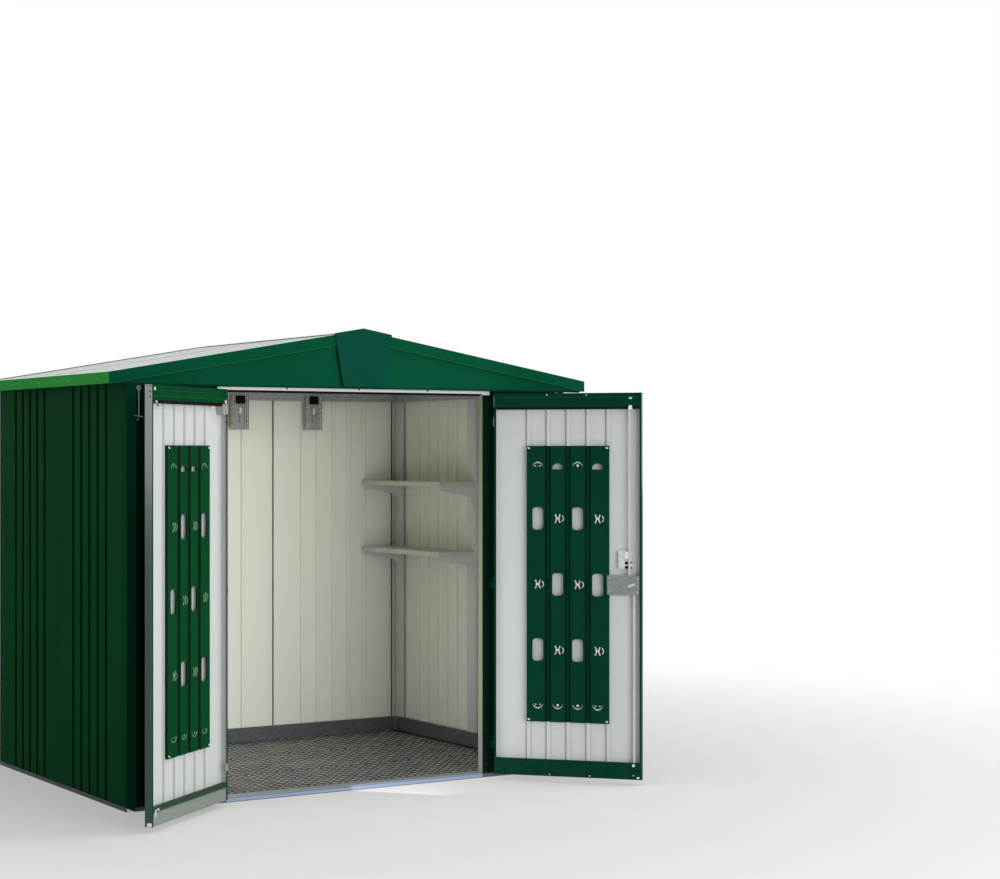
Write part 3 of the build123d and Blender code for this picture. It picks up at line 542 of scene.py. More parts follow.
@once
def leaf_coat(name):
    """Green outside, on the stiles and on their lips, and pale in the tray of a door leaf, with
    painted shade on the flanks of the tray's ribs.
    """
    leaf = Leaf(name)
    part = Face(leaf, f"{name}_door_leaf")
    material, graph, shader, position = new_material(f"Two-tone coat {name} leaf")
    inside = graph.use(inside_group(), Outward=-leaf.inwards, Lean=0.12)["Inside"]
    from_hinge = graph.vector("SUBTRACT", position, leaf.axis)
    run = graph.dot(from_hinge, leaf.along)
    depth = graph.dot(from_hinge, leaf.inwards)
    sheet = 1.0 * MM
    for test, value, limit in (
        ("GREATER_THAN", run, part.start + sheet), ("LESS_THAN", run, part.end - sheet),
        ("LESS_THAN", depth, part.far - sheet),
    ):
        inside = graph.times(inside, graph.math(test, value, limit))
    edge = graph.span(graph.facing(leaf.along), 0.7, 0.95)
    edge = graph.times(edge, graph.math("GREATER_THAN", run, part.end - 2 * sheet))
    edge = graph.times(edge, graph.span(graph.dot(position, UP), 0.1, 1.7, 0.3, 1.0))
    green = drift(graph, position, "door_coat")
    tone = graph.mix(inside, green, lining_tone(graph, position, "leaf_lining"))
    # Darkens the flanks of the ribs in the pale tray: painted shade.
    fold = graph.use(fold_shade_group(), Outward=leaf.inwards)["Fold"]
    tone = graph.mix(graph.times(fold, inside), tone, grey(0.72), "MULTIPLY")
    finish_coat(graph, shader, position, tone, gloss=edge)
    return material


@once
def board_coat(name, setting, polish):
    """Green coat of a tool board, with painted shade in its grooves, which are also a little
    polished.
    """
    material, graph, shader, position = new_material(f"Board coat {name}")
    # Darkens the flanks of the grooves: painted shade; the same mask adds a little gloss there.
    fold = graph.use(fold_shade_group(), Outward=Leaf(name).inwards)["Fold"]
    tone = graph.mix(fold, drift(graph, position, setting), grey(0.3), "MULTIPLY")
    finish_coat(graph, shader, position, tone, gloss=graph.times(fold, polish))
    return material


@once
def rail_coat_painted_reflection(name):
    """Green coat of a bottom rail, polished below its upper fold, where a pale painted reflection
    is mixed into the green.
    """
    material, graph, shader, position = new_material(f"Rail coat {name}")
    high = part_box(f"{name}_door_bottom_rail")[1].z
    rise = graph.dot(position, UP)
    polish = graph.span(rise, high - 26 * MM, high - 16 * MM, 1.0, 0.1)
    tone = drift(graph, position, "door_coat")
    # Mixes a pale grey-green into the polished band: painted reflection.
    tone = graph.mix(graph.times(polish, 0.6), tone, srgb(140, 152, 140))
    finish_coat(graph, shader, position, tone, gloss=polish)
    return material


@once
def lock_coat():
    """The pale coat of the lock's case, a little rubbed."""
    material, graph, shader, position = new_material("Lock coat")
    tone = drift(graph, position, "leaf_lining", 0.04)
    mottled = graph.span(graph.noise(position, 22.0, 5.0, 0.6), 0.5, 0.75, 0.0, 0.35)
    finish_coat(graph, shader, position, graph.mix(mottled, tone, srgb(150, 154, 154)))
    return material


# Metals and mouldings
@once
def pale_metal(name, setting):
    """Bright metal with faint drawn lines along its height."""
    material, graph, shader, position = new_material(name)
    base = palette(setting)
    lines = graph.use(drawn_group(), Position=position, Stretch=(700.0, 700.0, 6.0))["Lines"]
    graph.fill(
        shader, Base_Color=graph.mix(graph.span(lines, 0.3, 0.7), tint(base, 0.93), base),
        Roughness=graph.span(lines, 0.25, 0.75, 0.36, 0.46), Metallic=0.08,
    )
    return material


@once
def drawn_aluminium(name, setting):
    """Mill-finished aluminium, drawn along the front of the shed."""
    material, graph, shader, position = new_material(name)
    base = palette(setting)
    lines = graph.use(drawn_group(), Position=position, Stretch=(3.0, 900.0, 900.0))["Lines"]
    graph.fill(
        shader, Base_Color=graph.mix(graph.span(lines, 0.3, 0.7), tint(base, 0.9), base),
        Roughness=graph.span(lines, 0.25, 0.75, 0.3, 0.42), Metallic=0.55,
        Normal=graph.bump(graph.times(lines, 0.01 * MM)),
    )
    return material


@once
def zinc_finish(name, setting, metallic=0.3):
    """Dull zinc with its spangle."""
    material, graph, shader, position = new_material(name)
    zinc = palette(setting)
    spangle = graph.use(spangle_group(), Position=position, Grain=9 * MM)
    factor = graph.span(spangle["Tint"], -0.6, 0.6)
    graph.fill(
        shader, Base_Color=graph.mix(factor, tint(zinc, 0.88), tint(zinc, 1.1)),
        Roughness=graph.math("ADD", spangle["Gloss"], 0.46), Metallic=metallic,
        Specular_IOR_Level=0.2, Normal=graph.grain(position, 900.0, 2.0, 0.006 * MM),
    )
    return material


def galvanised():
    return zinc_finish("Galvanised steel", "zinc")


@once
def chequer_metal():
    """Rolled floor plate, duller between its lenses than on top of them."""
    material, graph, shader, position = new_material("Chequer plate")
    base = palette("chequer")
    cloud = graph.cloud(position, 6.0, 5.0, 0.6)
    graph.fill(
        shader, Base_Color=graph.mix(cloud, tint(base, 0.82), tint(base, 1.12)),
        Roughness=graph.span(cloud, 0.0, 1.0, 0.5, 0.38), Metallic=0.6,
        Normal=graph.grain(position, 700.0, 3.0, 0.01 * MM),
    )
    return material


@once
def lens_painted_highlight():
    """The crowns of the floor plate's lenses, in a pale colour that is a painted highlight."""
    material, graph, shader, position = new_material("Chequer lenses")
    base = palette("lens")
    cloud = graph.cloud(position, 9.0, 4.0, 0.6)
    graph.fill(
        shader, Base_Color=graph.mix(cloud, tint(base, 0.8), tint(base, 1.1)),
        Roughness=graph.span(cloud, 0.0, 1.0, 0.42, 0.3), Metallic=0.6,
    )
    return material


# Dark and light tones of the pressed edges, brighter on the right board than on the left: painted
# highlights.
PAINTED_HIGHLIGHT_TONES = {
    "left": (srgb(44, 96, 62), srgb(122, 160, 134)),
    "right": (srgb(110, 142, 126), srgb(204, 214, 209)),
}


@once
def painted_highlight_metal(name):
    """A pressed edge of a board in pale mottled greens, which are a painted highlight."""
    material, graph, shader, position = new_material(f"Worn pressed edge {name}")
    mottled = graph.span(graph.noise(position, 120.0, 4.0, 0.6), 0.3, 0.6)
    graph.fill(
        shader, Base_Color=graph.mix(mottled, *PAINTED_HIGHLIGHT_TONES[name]),
        Roughness=graph.span(mottled, 0.0, 1.0, 0.4, 0.28), Metallic=0.3,
    )
    return material


@once
def bright_steel():
    """Plated screws, rivets and pins."""
    material, graph, shader, position = new_material("Bright plated steel")
    cloud = graph.noise(position, 160.0, 3.0)
    graph.fill(
        shader,
        Base_Color=graph.mix(graph.span(cloud, 0.3, 0.7), srgb(206, 208, 208), srgb(238, 240, 240)),
        Roughness=graph.span(cloud, 0.3, 0.7, 0.22, 0.34), Metallic=0.45,
    )
    return material


@once
def moulding(name, setting, roughness):
    """Moulded plastic or rubber with a fine grain."""
    material, graph, shader, position = new_material(name)
    base = palette(setting)
    cloud = graph.noise(position, 40.0, 3.0)
    graph.fill(
        shader, Base_Color=graph.mix(graph.span(cloud, 0.3, 0.7), tint(base, 0.93), base),
        Roughness=graph.span(cloud, 0.3, 0.7, roughness, roughness + 0.08),
        Specular_IOR_Level=0.12, Normal=graph.grain(position, 1500.0, 2.0, 0.006 * MM),
    )
    return material


def black_moulding():
    return moulding("Black moulding", "black_moulding", 0.42)


def white_moulding():
    return moulding("White moulding", "white_moulding", 0.35)


def rubber():
    return moulding("Rubber seal", "seal", 0.62)


# Places on the doors
def seat(origin, normal, upward=UP):
    """A placement whose z axis is the normal and whose y axis leans upward."""
    z = Vector(normal).normalized()
    x = Vector(upward).cross(z).normalized()
    placement = Matrix((x, z.cross(x), z)).transposed().to_4x4()
    placement.translation = origin
    return placement


class Leaf:
    """Places on one door leaf at rest: along it from the hinge, inwards from its face, and up."""

    def __init__(self, name):
        joint = next(j for j in frame["joints"] if j["name"] == f"{name}_door_hinge")
        closing = Matrix.Rotation(-radians(max(joint["range_deg"], key=abs)), 3, "Z")
        self.body = f"{name}_door"
        self.axis = Vector((*joint["pos_m"][:2], 0))
        self.along = closing @ Vector((1 if name == "left" else -1, 0, 0))
        self.inwards = closing @ Vector((0, 1, 0))

    def reach(self, node, direction):
        """How far a node reaches from the hinge axis in one direction."""
        spans = [(v.co - self.axis).dot(direction) for v in frame["nodes"][node].data.vertices]
        return min(spans), max(spans)

    def place(self, along, inwards, height):
        return self.axis + self.along * along + self.inwards * inwards + UP * height


class Face:
    """The inner face of a part on a leaf; another part can give how far in the face lies."""

    def __init__(self, leaf, node, level=None):
        self.leaf = leaf
        self.start, self.end = leaf.reach(node, leaf.along)
        self.low, self.high = leaf.reach(node, UP)
        self.far = leaf.reach(level or node, leaf.inwards)[1]

    def point(self, along, height, sunk=0.0):
        """A point in millimetres; a negative place counts from the far end or from the head."""
        run = (self.end if along < 0 else self.start) + along * MM
        rise = (self.high if height < 0 else self.low) + height * MM
        return self.leaf.place(run, self.far - sunk * MM, rise)

    def seat(self, along, height, sunk=0.0):
        return seat(self.point(along, height, sunk), self.leaf.inwards)

    def end_seat(self, sunk, height):
        """A seat on the edge that is farthest from the hinge."""
        rise = (self.high if height < 0 else self.low) + height * MM
        return seat(self.leaf.place(self.end, self.far - sunk * MM, rise), self.leaf.along)


# Building pieces
def spread(start, end, count):
    """Evenly spaced values from a start to an end."""
    return [start + (end - start) * i / (count - 1) for i in range(count)]


def circle(radius, sides):
    """Points round a circle."""
    turns = [i * (2 * pi / sides) for i in range(sides)]
    return [Vector((radius * cos(turn), radius * sin(turn), 0)) for turn in turns]


def rounded(width, height, radius, steps=3):
    """Outline of a rectangle with round corners, round its middle."""
    points = []
    for quarter, (sx, sy) in enumerate(((1, 1), (-1, 1), (-1, -1), (1, -1))):
        centre = (sx * (width / 2 - radius), sy * (height / 2 - radius))
        for i in range(steps + 1):
            angle = (quarter + i / steps) * pi / 2
            points.append((centre[0] + radius * cos(angle), centre[1] + radius * sin(angle)))
    return points


class Maker:
    """Collects the faces of one piece, in metres in the frame."""

    def __init__(self):
        self.mesh = bmesh.new()

    def skin(self, rings):
        """Skins a row of closed rings of points, and caps both ends."""
        rows = [[self.mesh.verts.new(point) for point in ring] for ring in rings]
        for low, high in zip(rows, rows[1:]):
            for i in range(len(low)):
                j = (i + 1) % len(low)
                self.mesh.faces.new((low[i], low[j], high[j], high[i]))
        self.mesh.faces.new(rows[0][::-1])
        self.mesh.faces.new(rows[-1])

    def turned(self, placement, profile, sides):
        """A round form from its profile of (radius, height)."""
        self.skin([
            [placement @ (point + UP * height) for point in circle(radius, sides)]
            for radius, height in profile
        ])

    def plate(self, placement, outline, low, high):
        """A flat form from its outline and two heights, in millimetres."""
        self.skin([
            [placement @ (Vector((x, y, z)) * MM) for x, y in outline] for z in (low, high)
        ])

    def tab(self, placement, width, height, thick=2.5):
        """A small plate with round corners, in millimetres."""
        self.plate(placement, rounded(width, height, 0.3 * min(width, height)), -2, thick)

    def bar(self, outline, start, end):
        """A bar along x from its outline in (y, z)."""
        self.skin([[Vector((x, y, z)) for y, z in outline] for x in (start, end)])

    def wire(self, path, radius, sides=8):
        """A rod along a path of points."""
        points = [Vector(p) for p in path]
        side = (points[1] - points[0]).normalized().orthogonal().normalized()
        rings = []
        for i, point in enumerate(points):
            before, after = points[max(i - 1, 0)], points[min(i + 1, len(points) - 1)]
            turn = (after - before).normalized()
            side = (side - turn * side.dot(turn)).normalized()
            across = turn.cross(side)
            rings.append([point + side * p.x + across * p.y for p in circle(radius, sides)])
        self.skin(rings)

    def screw(self, placement, radius, height, sides):
        """A round head with a socket."""
        socket = 0.42 * radius
        self.turned(placement, (
            (radius, -0.3 * height), (radius, 0.35 * height), (0.86 * radius, 0.75 * height),
            (0.6 * radius, height), (socket, height), (0.85 * socket, 0.45 * height),
            (0.2 * socket, 0.4 * height),
        ), sides)

    def rivet(self, placement, radius, sides=12):
        """A flat dome."""
        self.turned(placement, [(radius * across, radius * height) for across, height in (
            (1, -0.2), (1, 0.08), (0.8, 0.34), (0.45, 0.5), (0.1, 0.54),
        )], sides)

    def done(self, name, body, material, slot=None, edge=0.0):
        """Turns the faces into a piece that rides on a body, with edges rounded in millimetres."""
        bmesh.ops.remove_doubles(self.mesh, verts=self.mesh.verts, dist=1e-7)
        bmesh.ops.recalc_face_normals(self.mesh, faces=self.mesh.faces)
        data = bpy.data.meshes.new(name)
        self.mesh.to_mesh(data)
        self.mesh.free()
        piece = bpy.data.objects.new(name, data)
        bpy.context.scene.collection.objects.link(piece)
        data.materials.append(material)
        round_edges(piece, edge * MM)
        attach(piece, body)


@once
def normals_group():
    """Geometry nodes that drop old normals and smooth the mesh up to an angle."""
    tree = bpy.data.node_groups.new("Smooth by angle", "GeometryNodeTree")
    for title, way, kind in (
        ("Geometry", "INPUT", "Geometry"), ("Angle", "INPUT", "Float"),
        ("Geometry", "OUTPUT", "Geometry"),
    ):
        tree.interface.new_socket(title, in_out=way, socket_type=f"NodeSocket{kind}")
    graph = Graph(tree)
    source = graph.add("NodeGroupInput").outputs
    sink = graph.add("NodeGroupOutput").inputs
    angle = graph.add("GeometryNodeInputMeshEdgeAngle").outputs["Unsigned Angle"]
    compare = graph.add("FunctionNodeCompare", data_type="FLOAT", operation="GREATER_THAN")
    graph.feed(compare.inputs[0], angle)
    graph.feed(compare.inputs[1], source["Angle"])
    normals = graph.fill(
        graph.add("GeometryNodeSetMeshNormal", mode="SHARPNESS"), Mesh=source["Geometry"],
        Remove_Custom=True, Edge_Sharpness=compare.outputs["Result"],
    )
    graph.feed(sink["Geometry"], normals["Mesh"])
    return tree


def round_edges(piece, radius):
    """Welds a mesh, rounds its edges and gives it clean normals, all with modifiers."""
    piece.modifiers.new("Weld", "WELD").merge_threshold = 1e-6
    if radius:
        bevel = piece.modifiers.new("Round edges", "BEVEL")
        bevel.width = radius
        bevel.segments = 2
        bevel.limit_method = "ANGLE"
        bevel.angle_limit = radians(35)
        bevel.use_clamp_overlap = True
    shade = piece.modifiers.new("Smooth by angle", "NODES")
    shade.node_group = tree = normals_group()
    angle = next(item.identifier for item in tree.interface.items_tree if item.name == "Angle")
    shade[angle] = radians(40)
    piece.modifiers.new("Weighted normals", "WEIGHTED_NORMAL").keep_sharp = True


def screws(name, placements):
    """One piece with a black screw at each placement on the shed."""
    sizes = bpy.context.scene.shed_fasteners
    maker = Maker()
    for placement in placements:
        maker.screw(placement, sizes.screw_radius, sizes.screw_height, sizes.head_sides)
    maker.done(name, "shed", black_moulding(), "galvanised_steel")


def rivets(name, body, placements):
    """One piece with a rivet at each placement."""
    sizes = bpy.context.scene.shed_fasteners
    maker = Maker()
    for placement in placements:
        maker.rivet(placement, sizes.rivet_radius, sizes.head_sides)
    maker.done(name, body, bright_steel(), "galvanised_steel")


def dress(material, *nodes):
    """Gives CAD nodes a material in place of their plain one."""
    for node in nodes:
        slots = frame["nodes"][node].data.materials
        if len(slots):
            slots[0] = material
        else:
            slots.append(material)


# Operators
class SHED_OT_edges(bpy.types.Operator):
    """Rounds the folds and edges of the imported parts"""

    bl_idname = "shed.edges"
    bl_label = "Round the edges"

    def execute(self, context):
        for node in frame["nodes"].values():
            round_edges(node, context.scene.shed_coat.edge_radius)
        return {"FINISHED"}


class SHED_OT_walls(bpy.types.Operator):
    """Coats the walls, posts and jambs green outside and pale inside"""

    bl_idname = "shed.walls"
    bl_label = "Coat the walls"

    def execute(self, context):
        for node, outward, setting in (
            ("left_wall", (-1.0, 0.0, 0.0), "wall_coat"),
            ("right_wall", (1.0, 0.0, 0.0), "wall_coat"),
            ("back_wall", (0.0, 1.0, 0.0), "wall_coat"),
            # The front walls take the deeper front coat, which is painted shade.
            ("front_wall_left", tuple(FRONT), "front_coat"),
            ("front_wall_right", tuple(FRONT), "front_coat"),
        ):
            # Each wall is green outside and takes the lighter wall lining inside; True adds painted
            # shade on the flanks of its ribs.
            dress(two_tone_coat(node, outward, -0.15, setting, "wall_lining", True), node)
        dress(corner_coat(), "corner_posts")
        # The jambs take the front coat and the jamb lining, darker copies of the green and of the
        # pale coat: painted shade.
        jambs = two_tone_coat("jambs", tuple(FRONT), 0.5, "front_coat", "jamb_lining")
        dress(jambs, "door_jamb_left", "door_jamb_right")
        return {"FINISHED"}


class SHED_OT_roof(bpy.types.Operator):
    """Coats the roof sheets, the strips and the gables"""

    bl_idname = "shed.roof"
    bl_label = "Coat the roof"

    def execute(self, context):
        dress(two_tone_coat("roof", tuple(UP)), "roof_left", "roof_right")
        dress(
            green_coat("Green coat", "outer_coat"), "ridge_cover", "barge_strips_front",
            "barge_strips_back", "gable_front", "gable_back",
        )
        dress(green_coat("Plate coat", "plate_coat"), "gable_centre_plate")
        # The eave strips take the brighter eave coat, which is painted sunlight.
        sheen_from = context.scene.shed_coat.eave_sheen
        eave = green_coat("Eave coat", "eave_coat", sheen_from)
        dress(eave, "eave_strip_left", "eave_strip_right")
        return {"FINISHED"}


class SHED_OT_doors(bpy.types.Operator):
    """Coats the door leaves, their rails and the tool boards"""

    bl_idname = "shed.doors"
    bl_label = "Coat the doors"

    def execute(self, context):
        for name in ("left", "right"):
            dress(leaf_coat(name), f"{name}_door_leaf")
            dress(door_coat(), f"{name}_door_hinges", f"hinge_pins_{name}")
        # The left door's top rail and board take the brighter sunny coat, which is painted
        # sunlight.
        dress(green_coat("Sunny coat", "sunny_coat"), "left_door_top_rail")
        dress(board_coat("left", "sunny_coat", 0.03), "left_door_tool_board")
        dress(board_coat("right", "door_coat", 0.2), "right_door_tool_board")
        # The left bottom rail takes a pale painted reflection below its fold.
        dress(rail_coat_painted_reflection("left"), "left_door_bottom_rail")
        dress(door_coat(), "right_door_top_rail", "right_door_bottom_rail")
        dress(lock_coat(), "right_door_lock_case")
        dress(zinc_finish("Brushed band", "band_zinc", 0.15), "right_door_lock_plate")
        return {"FINISHED"}


class SHED_OT_steelwork(bpy.types.Operator):
    """Gives the frame, the shelves, the floor and the ironwork their metals"""

    bl_idname = "shed.steelwork"
    bl_label = "Finish the steelwork"

    def execute(self, context):
        dress(galvanised(), "top_rails", "roof_frame", "tool_hangers", "door_hooks")
        dress(pale_metal("Shelf zinc", "shelf_zinc"), "shelf_lower", "shelf_upper")
        dress(pale_metal("Bright zinc", "upright_zinc"), "shelf_uprights", "shelf_brackets")
        dress(pale_metal("Rod coat", "rod_coat"), "right_door_lock_rods")
        # The base rails take the darker base zinc, which is painted shade.
        dress(zinc_finish("Weathered zinc", "base_zinc"), "base_rails")
        dress(drawn_aluminium("Drawn aluminium", "aluminium"), "door_lintel")
        dress(drawn_aluminium("Sill top", "sill_top"), "door_sill")
        dress(chequer_metal(), "floor_plates")
        dress(black_moulding(), "right_door_knob")
        return {"FINISHED"}


class SHED_OT_chequer(bpy.types.Operator):
    """Raises the lenses of the chequer pattern on the floor plates"""

    bl_idname = "shed.chequer"
    bl_label = "Raise the chequer pattern"

    def execute(self, context):
        sizes = context.scene.shed_chequer
        low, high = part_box("floor_plates")
        depth = (high.y - low.y) / 3
        columns = int((high.x - low.x - 2 * sizes.margin) // sizes.pitch)
        for index, name in enumerate(("front", "middle", "back")):
            maker = Maker()
            start = low.y + index * depth + sizes.margin
            end = start + depth - 2 * sizes.margin
            rows = int((end - start) // sizes.pitch)
            for column in range(columns):
                for row in range(rows):
                    x = low.x + sizes.margin + (column + 0.5) * sizes.pitch
                    y = start + (row + 0.5) * (end - start) / rows
                    turn = pi / 4 if (column + row) % 2 else -pi / 4
                    lens(maker, Vector((x, y, high.z)), turn, sizes)
            maker.done(f"floor_lenses_{name}", "shed", lens_painted_highlight(), "chequer_plate")
        return {"FINISHED"}


# Rings of a lens: share of its size and of its height
LENS_RINGS = ((1.0, -0.1), (0.62, 0.8), (0.25, 1.0))
LENS_SIDES = 10


def lens(maker, place, turn, sizes):
    """One raised lens: a pointed oval that rises to a low crown."""
    placed = Matrix.Translation(place) @ Matrix.Rotation(turn, 4, "Z")
    rings = []
    for across, height in LENS_RINGS:
        half_length, half_width = across * sizes.lens_length / 2, across * sizes.lens_width / 2
        rings.append([
            placed @ Vector((
                half_length * point.x, half_width * point.y * abs(point.y) ** 0.3,
                height * sizes.lens_height,
            )) for point in circle(1, LENS_SIDES)
        ])
    maker.skin(rings)


class SHED_OT_doorway_screws(bpy.types.Operator):
    """Fixes the sill and the lintel with screws"""

    bl_idname = "shed.doorway_screws"
    bl_label = "Screw the doorway"

    def execute(self, context):
        sizes = context.scene.shed_fasteners
        places = spread(-sizes.doorway_pitch, sizes.doorway_pitch, 3)
        low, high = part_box("door_sill")
        y = low.y + sizes.sill_inset
        screws("sill_screws", [seat((x, y, high.z), UP, FRONT) for x in places])
        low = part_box("door_lintel")[0]
        z = low.z + sizes.lintel_rise
        screws("lintel_screws", [seat((x, low.y, z), FRONT) for x in places])
        return {"FINISHED"}


class SHED_OT_eave_rivets(bpy.types.Operator):
    """Rivets the eave strips"""

    bl_idname = "shed.eave_rivets"
    bl_label = "Rivet the eaves"

    def execute(self, context):
        sizes = context.scene.shed_fasteners
        for name, side in (("left", -1), ("right", 1)):
            low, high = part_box(f"eave_strip_{name}")
            face = low.x if side < 0 else high.x
            places = spread(low.y + sizes.eave_inset, high.y - sizes.eave_inset, sizes.eave_rivets)
            strip = [seat((face, y, low.z + sizes.eave_rise), (side, 0, 0)) for y in places]
            rivets(f"eave_rivets_{name}", "shed", strip)
        return {"FINISHED"}


# Bridges of a board: the flat they stand on, and their number of dots
HEAD_BRIDGES = {"left": ((3, 0), (0, 0)), "right": ((0, 2), (2, 1))}
FOOT_BRIDGES = ((0, 2), (1, 1), (2, 1), (3, 2))


class SHED_OT_boards(bpy.types.Operator):
    """Presses the bridges and lugs of the tool boards and clips the boards to the leaves"""

    bl_idname = "shed.boards"
    bl_label = "Fit out the tool boards"

    def execute(self, context):
        sizes = context.scene.shed_boards
        for name in ("left", "right"):
            leaf = Leaf(name)
            board = Face(leaf, f"{name}_door_tool_board")
            middle = (board.end - board.start) / 2
            flats = [(middle + (i - 1.5) * sizes.rib_pitch) / MM for i in range(4)]
            bridges, dots, lugs, clips = Maker(), Maker(), Maker(), Maker()
            for flat, number_of in HEAD_BRIDGES[name]:
                place = board.seat(flats[flat], -sizes.head_row / MM)
                bridge(bridges, dots, place, sizes, number_of)
            for flat, number_of in FOOT_BRIDGES:
                place = board.seat(flats[flat], sizes.foot_row / MM) @ HALF_TURN
                bridge(bridges, dots, place, sizes, number_of)
            for row in range(3):
                height = (sizes.slot_row + row * sizes.slot_pitch) / MM
                for flat in flats[1 - row % 2::2]:
                    lug(lugs, board.seat(flat, height), sizes)
            inset = sizes.clip_inset / MM
            lean = Matrix.Rotation(radians(-20), 4, "Z")
            for along in (inset, -inset):
                for height in (inset, -inset):
                    clips.plate(board.seat(along, height) @ lean, rounded(12, 6, 2.5), -2, 3)
            # The bridges, and on the left board the dots and lugs, take the painted highlight
            # tones.
            tongues = painted_highlight_metal("left") if name == "left" else bright_steel()
            zinc = "galvanised_steel"
            bridges.done(f"{name}_board_bridges", leaf.body, painted_highlight_metal(name), "green_paint", 0.6)
            dots.done(f"{name}_board_dots", leaf.body, tongues, zinc)
            lugs.done(f"{name}_board_lugs", leaf.body, tongues, zinc)
            clips.done(f"{name}_board_clips", leaf.body, white_moulding(), edge=0.6)
        return {"FINISHED"}


# Dots below a bridge, in shares of its radius, and how much larger a single one is
DOTS = {0: ((0, 0.3),), 1: ((0, 0.2),), 2: ((-0.42, 0.15), (0.42, 0.15))}
SINGLE_DOT = 1.7
# A bridge: steps along it, thickness at its feet against its crown, and height of the crown
BRIDGE_STEPS = 17
BRIDGE_FOOT = 0.25
BRIDGE_CROWN = 0.6
# A lug in millimetres: half gap and bend of its arms, half length of its bar, depth and half
# height of its bow, and how high they lie
ARM_GAP, ARM_BEND, BAR_REACH, ARM_LIFT = 5.5, 6.5, 7, 1.2
BOW_DEPTH, BOW_REACH, BOW_LIFT = 10, 13.5, 0.8
BOW_TURN = pi / 2.4


def bridge(bridges, holes, place, sizes, dots):
    """A half-round bridge pressed out of a board, with its dots."""
    radius = sizes.bridge_radius
    rings = []
    for angle in spread(0, pi, BRIDGE_STEPS):
        thick = sizes.bridge_wire * (BRIDGE_FOOT + (1 - BRIDGE_FOOT) * sin(angle))
        out = Vector((cos(angle), sin(angle), 0))
        inner, outer = out * (radius - 2 * thick), out * radius
        crown = (inner + outer) / 2 + UP * (BRIDGE_CROWN * sizes.bridge_wire)
        below = UP * (-0.5 * MM)
        shoulder = outer * 0.97 + (crown - outer) * 0.5
        rings.append([place @ p for p in (inner + below, outer + below, shoulder, crown, inner)])
    bridges.skin(rings)
    size = sizes.hole_radius * (SINGLE_DOT if dots == 1 else 1)
    for x, y in DOTS[dots]:
        holes.rivet(place @ Matrix.Translation((x * radius, y * radius, 0)), size, 14)


def lug(maker, place, sizes):
    """An H of bent tongues that holds a hook, and a bright bow beside it, a painted highlight on
    the lit rim of the pressed boss round the H.
    """
    reach = sizes.lug_height / 2
    for side in (-1, 1):
        arm = [
            place @ Vector((side * (ARM_GAP + ARM_BEND * t * t) * MM, reach * t, ARM_LIFT * MM))
            for t in spread(-1, 1, 9)
        ]
        maker.wire(arm, sizes.lug_wire)
    bar = [place @ (Vector((x, 0, ARM_LIFT)) * MM) for x in spread(-BAR_REACH, BAR_REACH, 3)]
    maker.wire(bar, sizes.lug_wire * 1.5)
    # A bright wire on one side of the H only: painted highlight.
    start = Vector((sizes.bow_gap, 0, 0))
    bow = [
        place @ (start + Vector((BOW_DEPTH * (cos(t) - 1), BOW_REACH * sin(t), BOW_LIFT)) * MM)
        for t in spread(-BOW_TURN, BOW_TURN, 9)
    ]
    maker.wire(bow, sizes.lug_wire * 0.7)


# Moulded tabs of the doors in millimetres: place along and up, how deep they sit, width and
# height; a negative place counts from the end away from the hinge, or from the head
TABS = {
    "left": (
        (-22, -16, 0, 9, 13), (-35, -68, 0, 10, 8), (-50, 64, 0, 12, 8), (-28, 52, 0, 6, 30),
        (21, -56, 0, 9, 14), (128, -79, 8, 7, 9),
    ),
    "right": ((-52, -25, 0, 14, 7), (-38, 64, 0, 12, 12), (-17, 9, 0, 12, 8)),
}
# Zinc plates at the left hinges: the same, and their corner radius, underside and top
HINGE_PLATES = (
    (24, -87, 0, 50, 44, 4, -1, 1.5), (48.5, -87, 14, 1.6, 44, 0.7, -14, 14),
    (11, 143, 0, 20, 32, 4, -1, 1.5),
)
# Tab on the edge of the left door: how deep and how high it sits, width, height and thickness
END_TAB = (12, 9, 20, 16, 4)
DARK_TAB = (-47, -83, 8, 6)
# Guide of the right door's upper rod: its place and its outline
GUIDE_PLACE = (-52, -68)
ROD_GUIDE = ((-10, -10), (10, -10), (6, 10), (-6, 10))
# Dark rivets of the left door: how deep and how far below the head on its edge, and how far
# below the head on its hinge plate
EDGE_DEPTH = 9
EDGE_DROPS = (6, 27, 48)
PLATE_DROPS = (71, 100, 141)
# Rivets of the right door's rails: place along and up
RAIL_RIVETS = ((247, -8), (431, -10), (-38, 19), (261, 8), (447, 9))
RIVET_RADIUS = 3.5 * MM


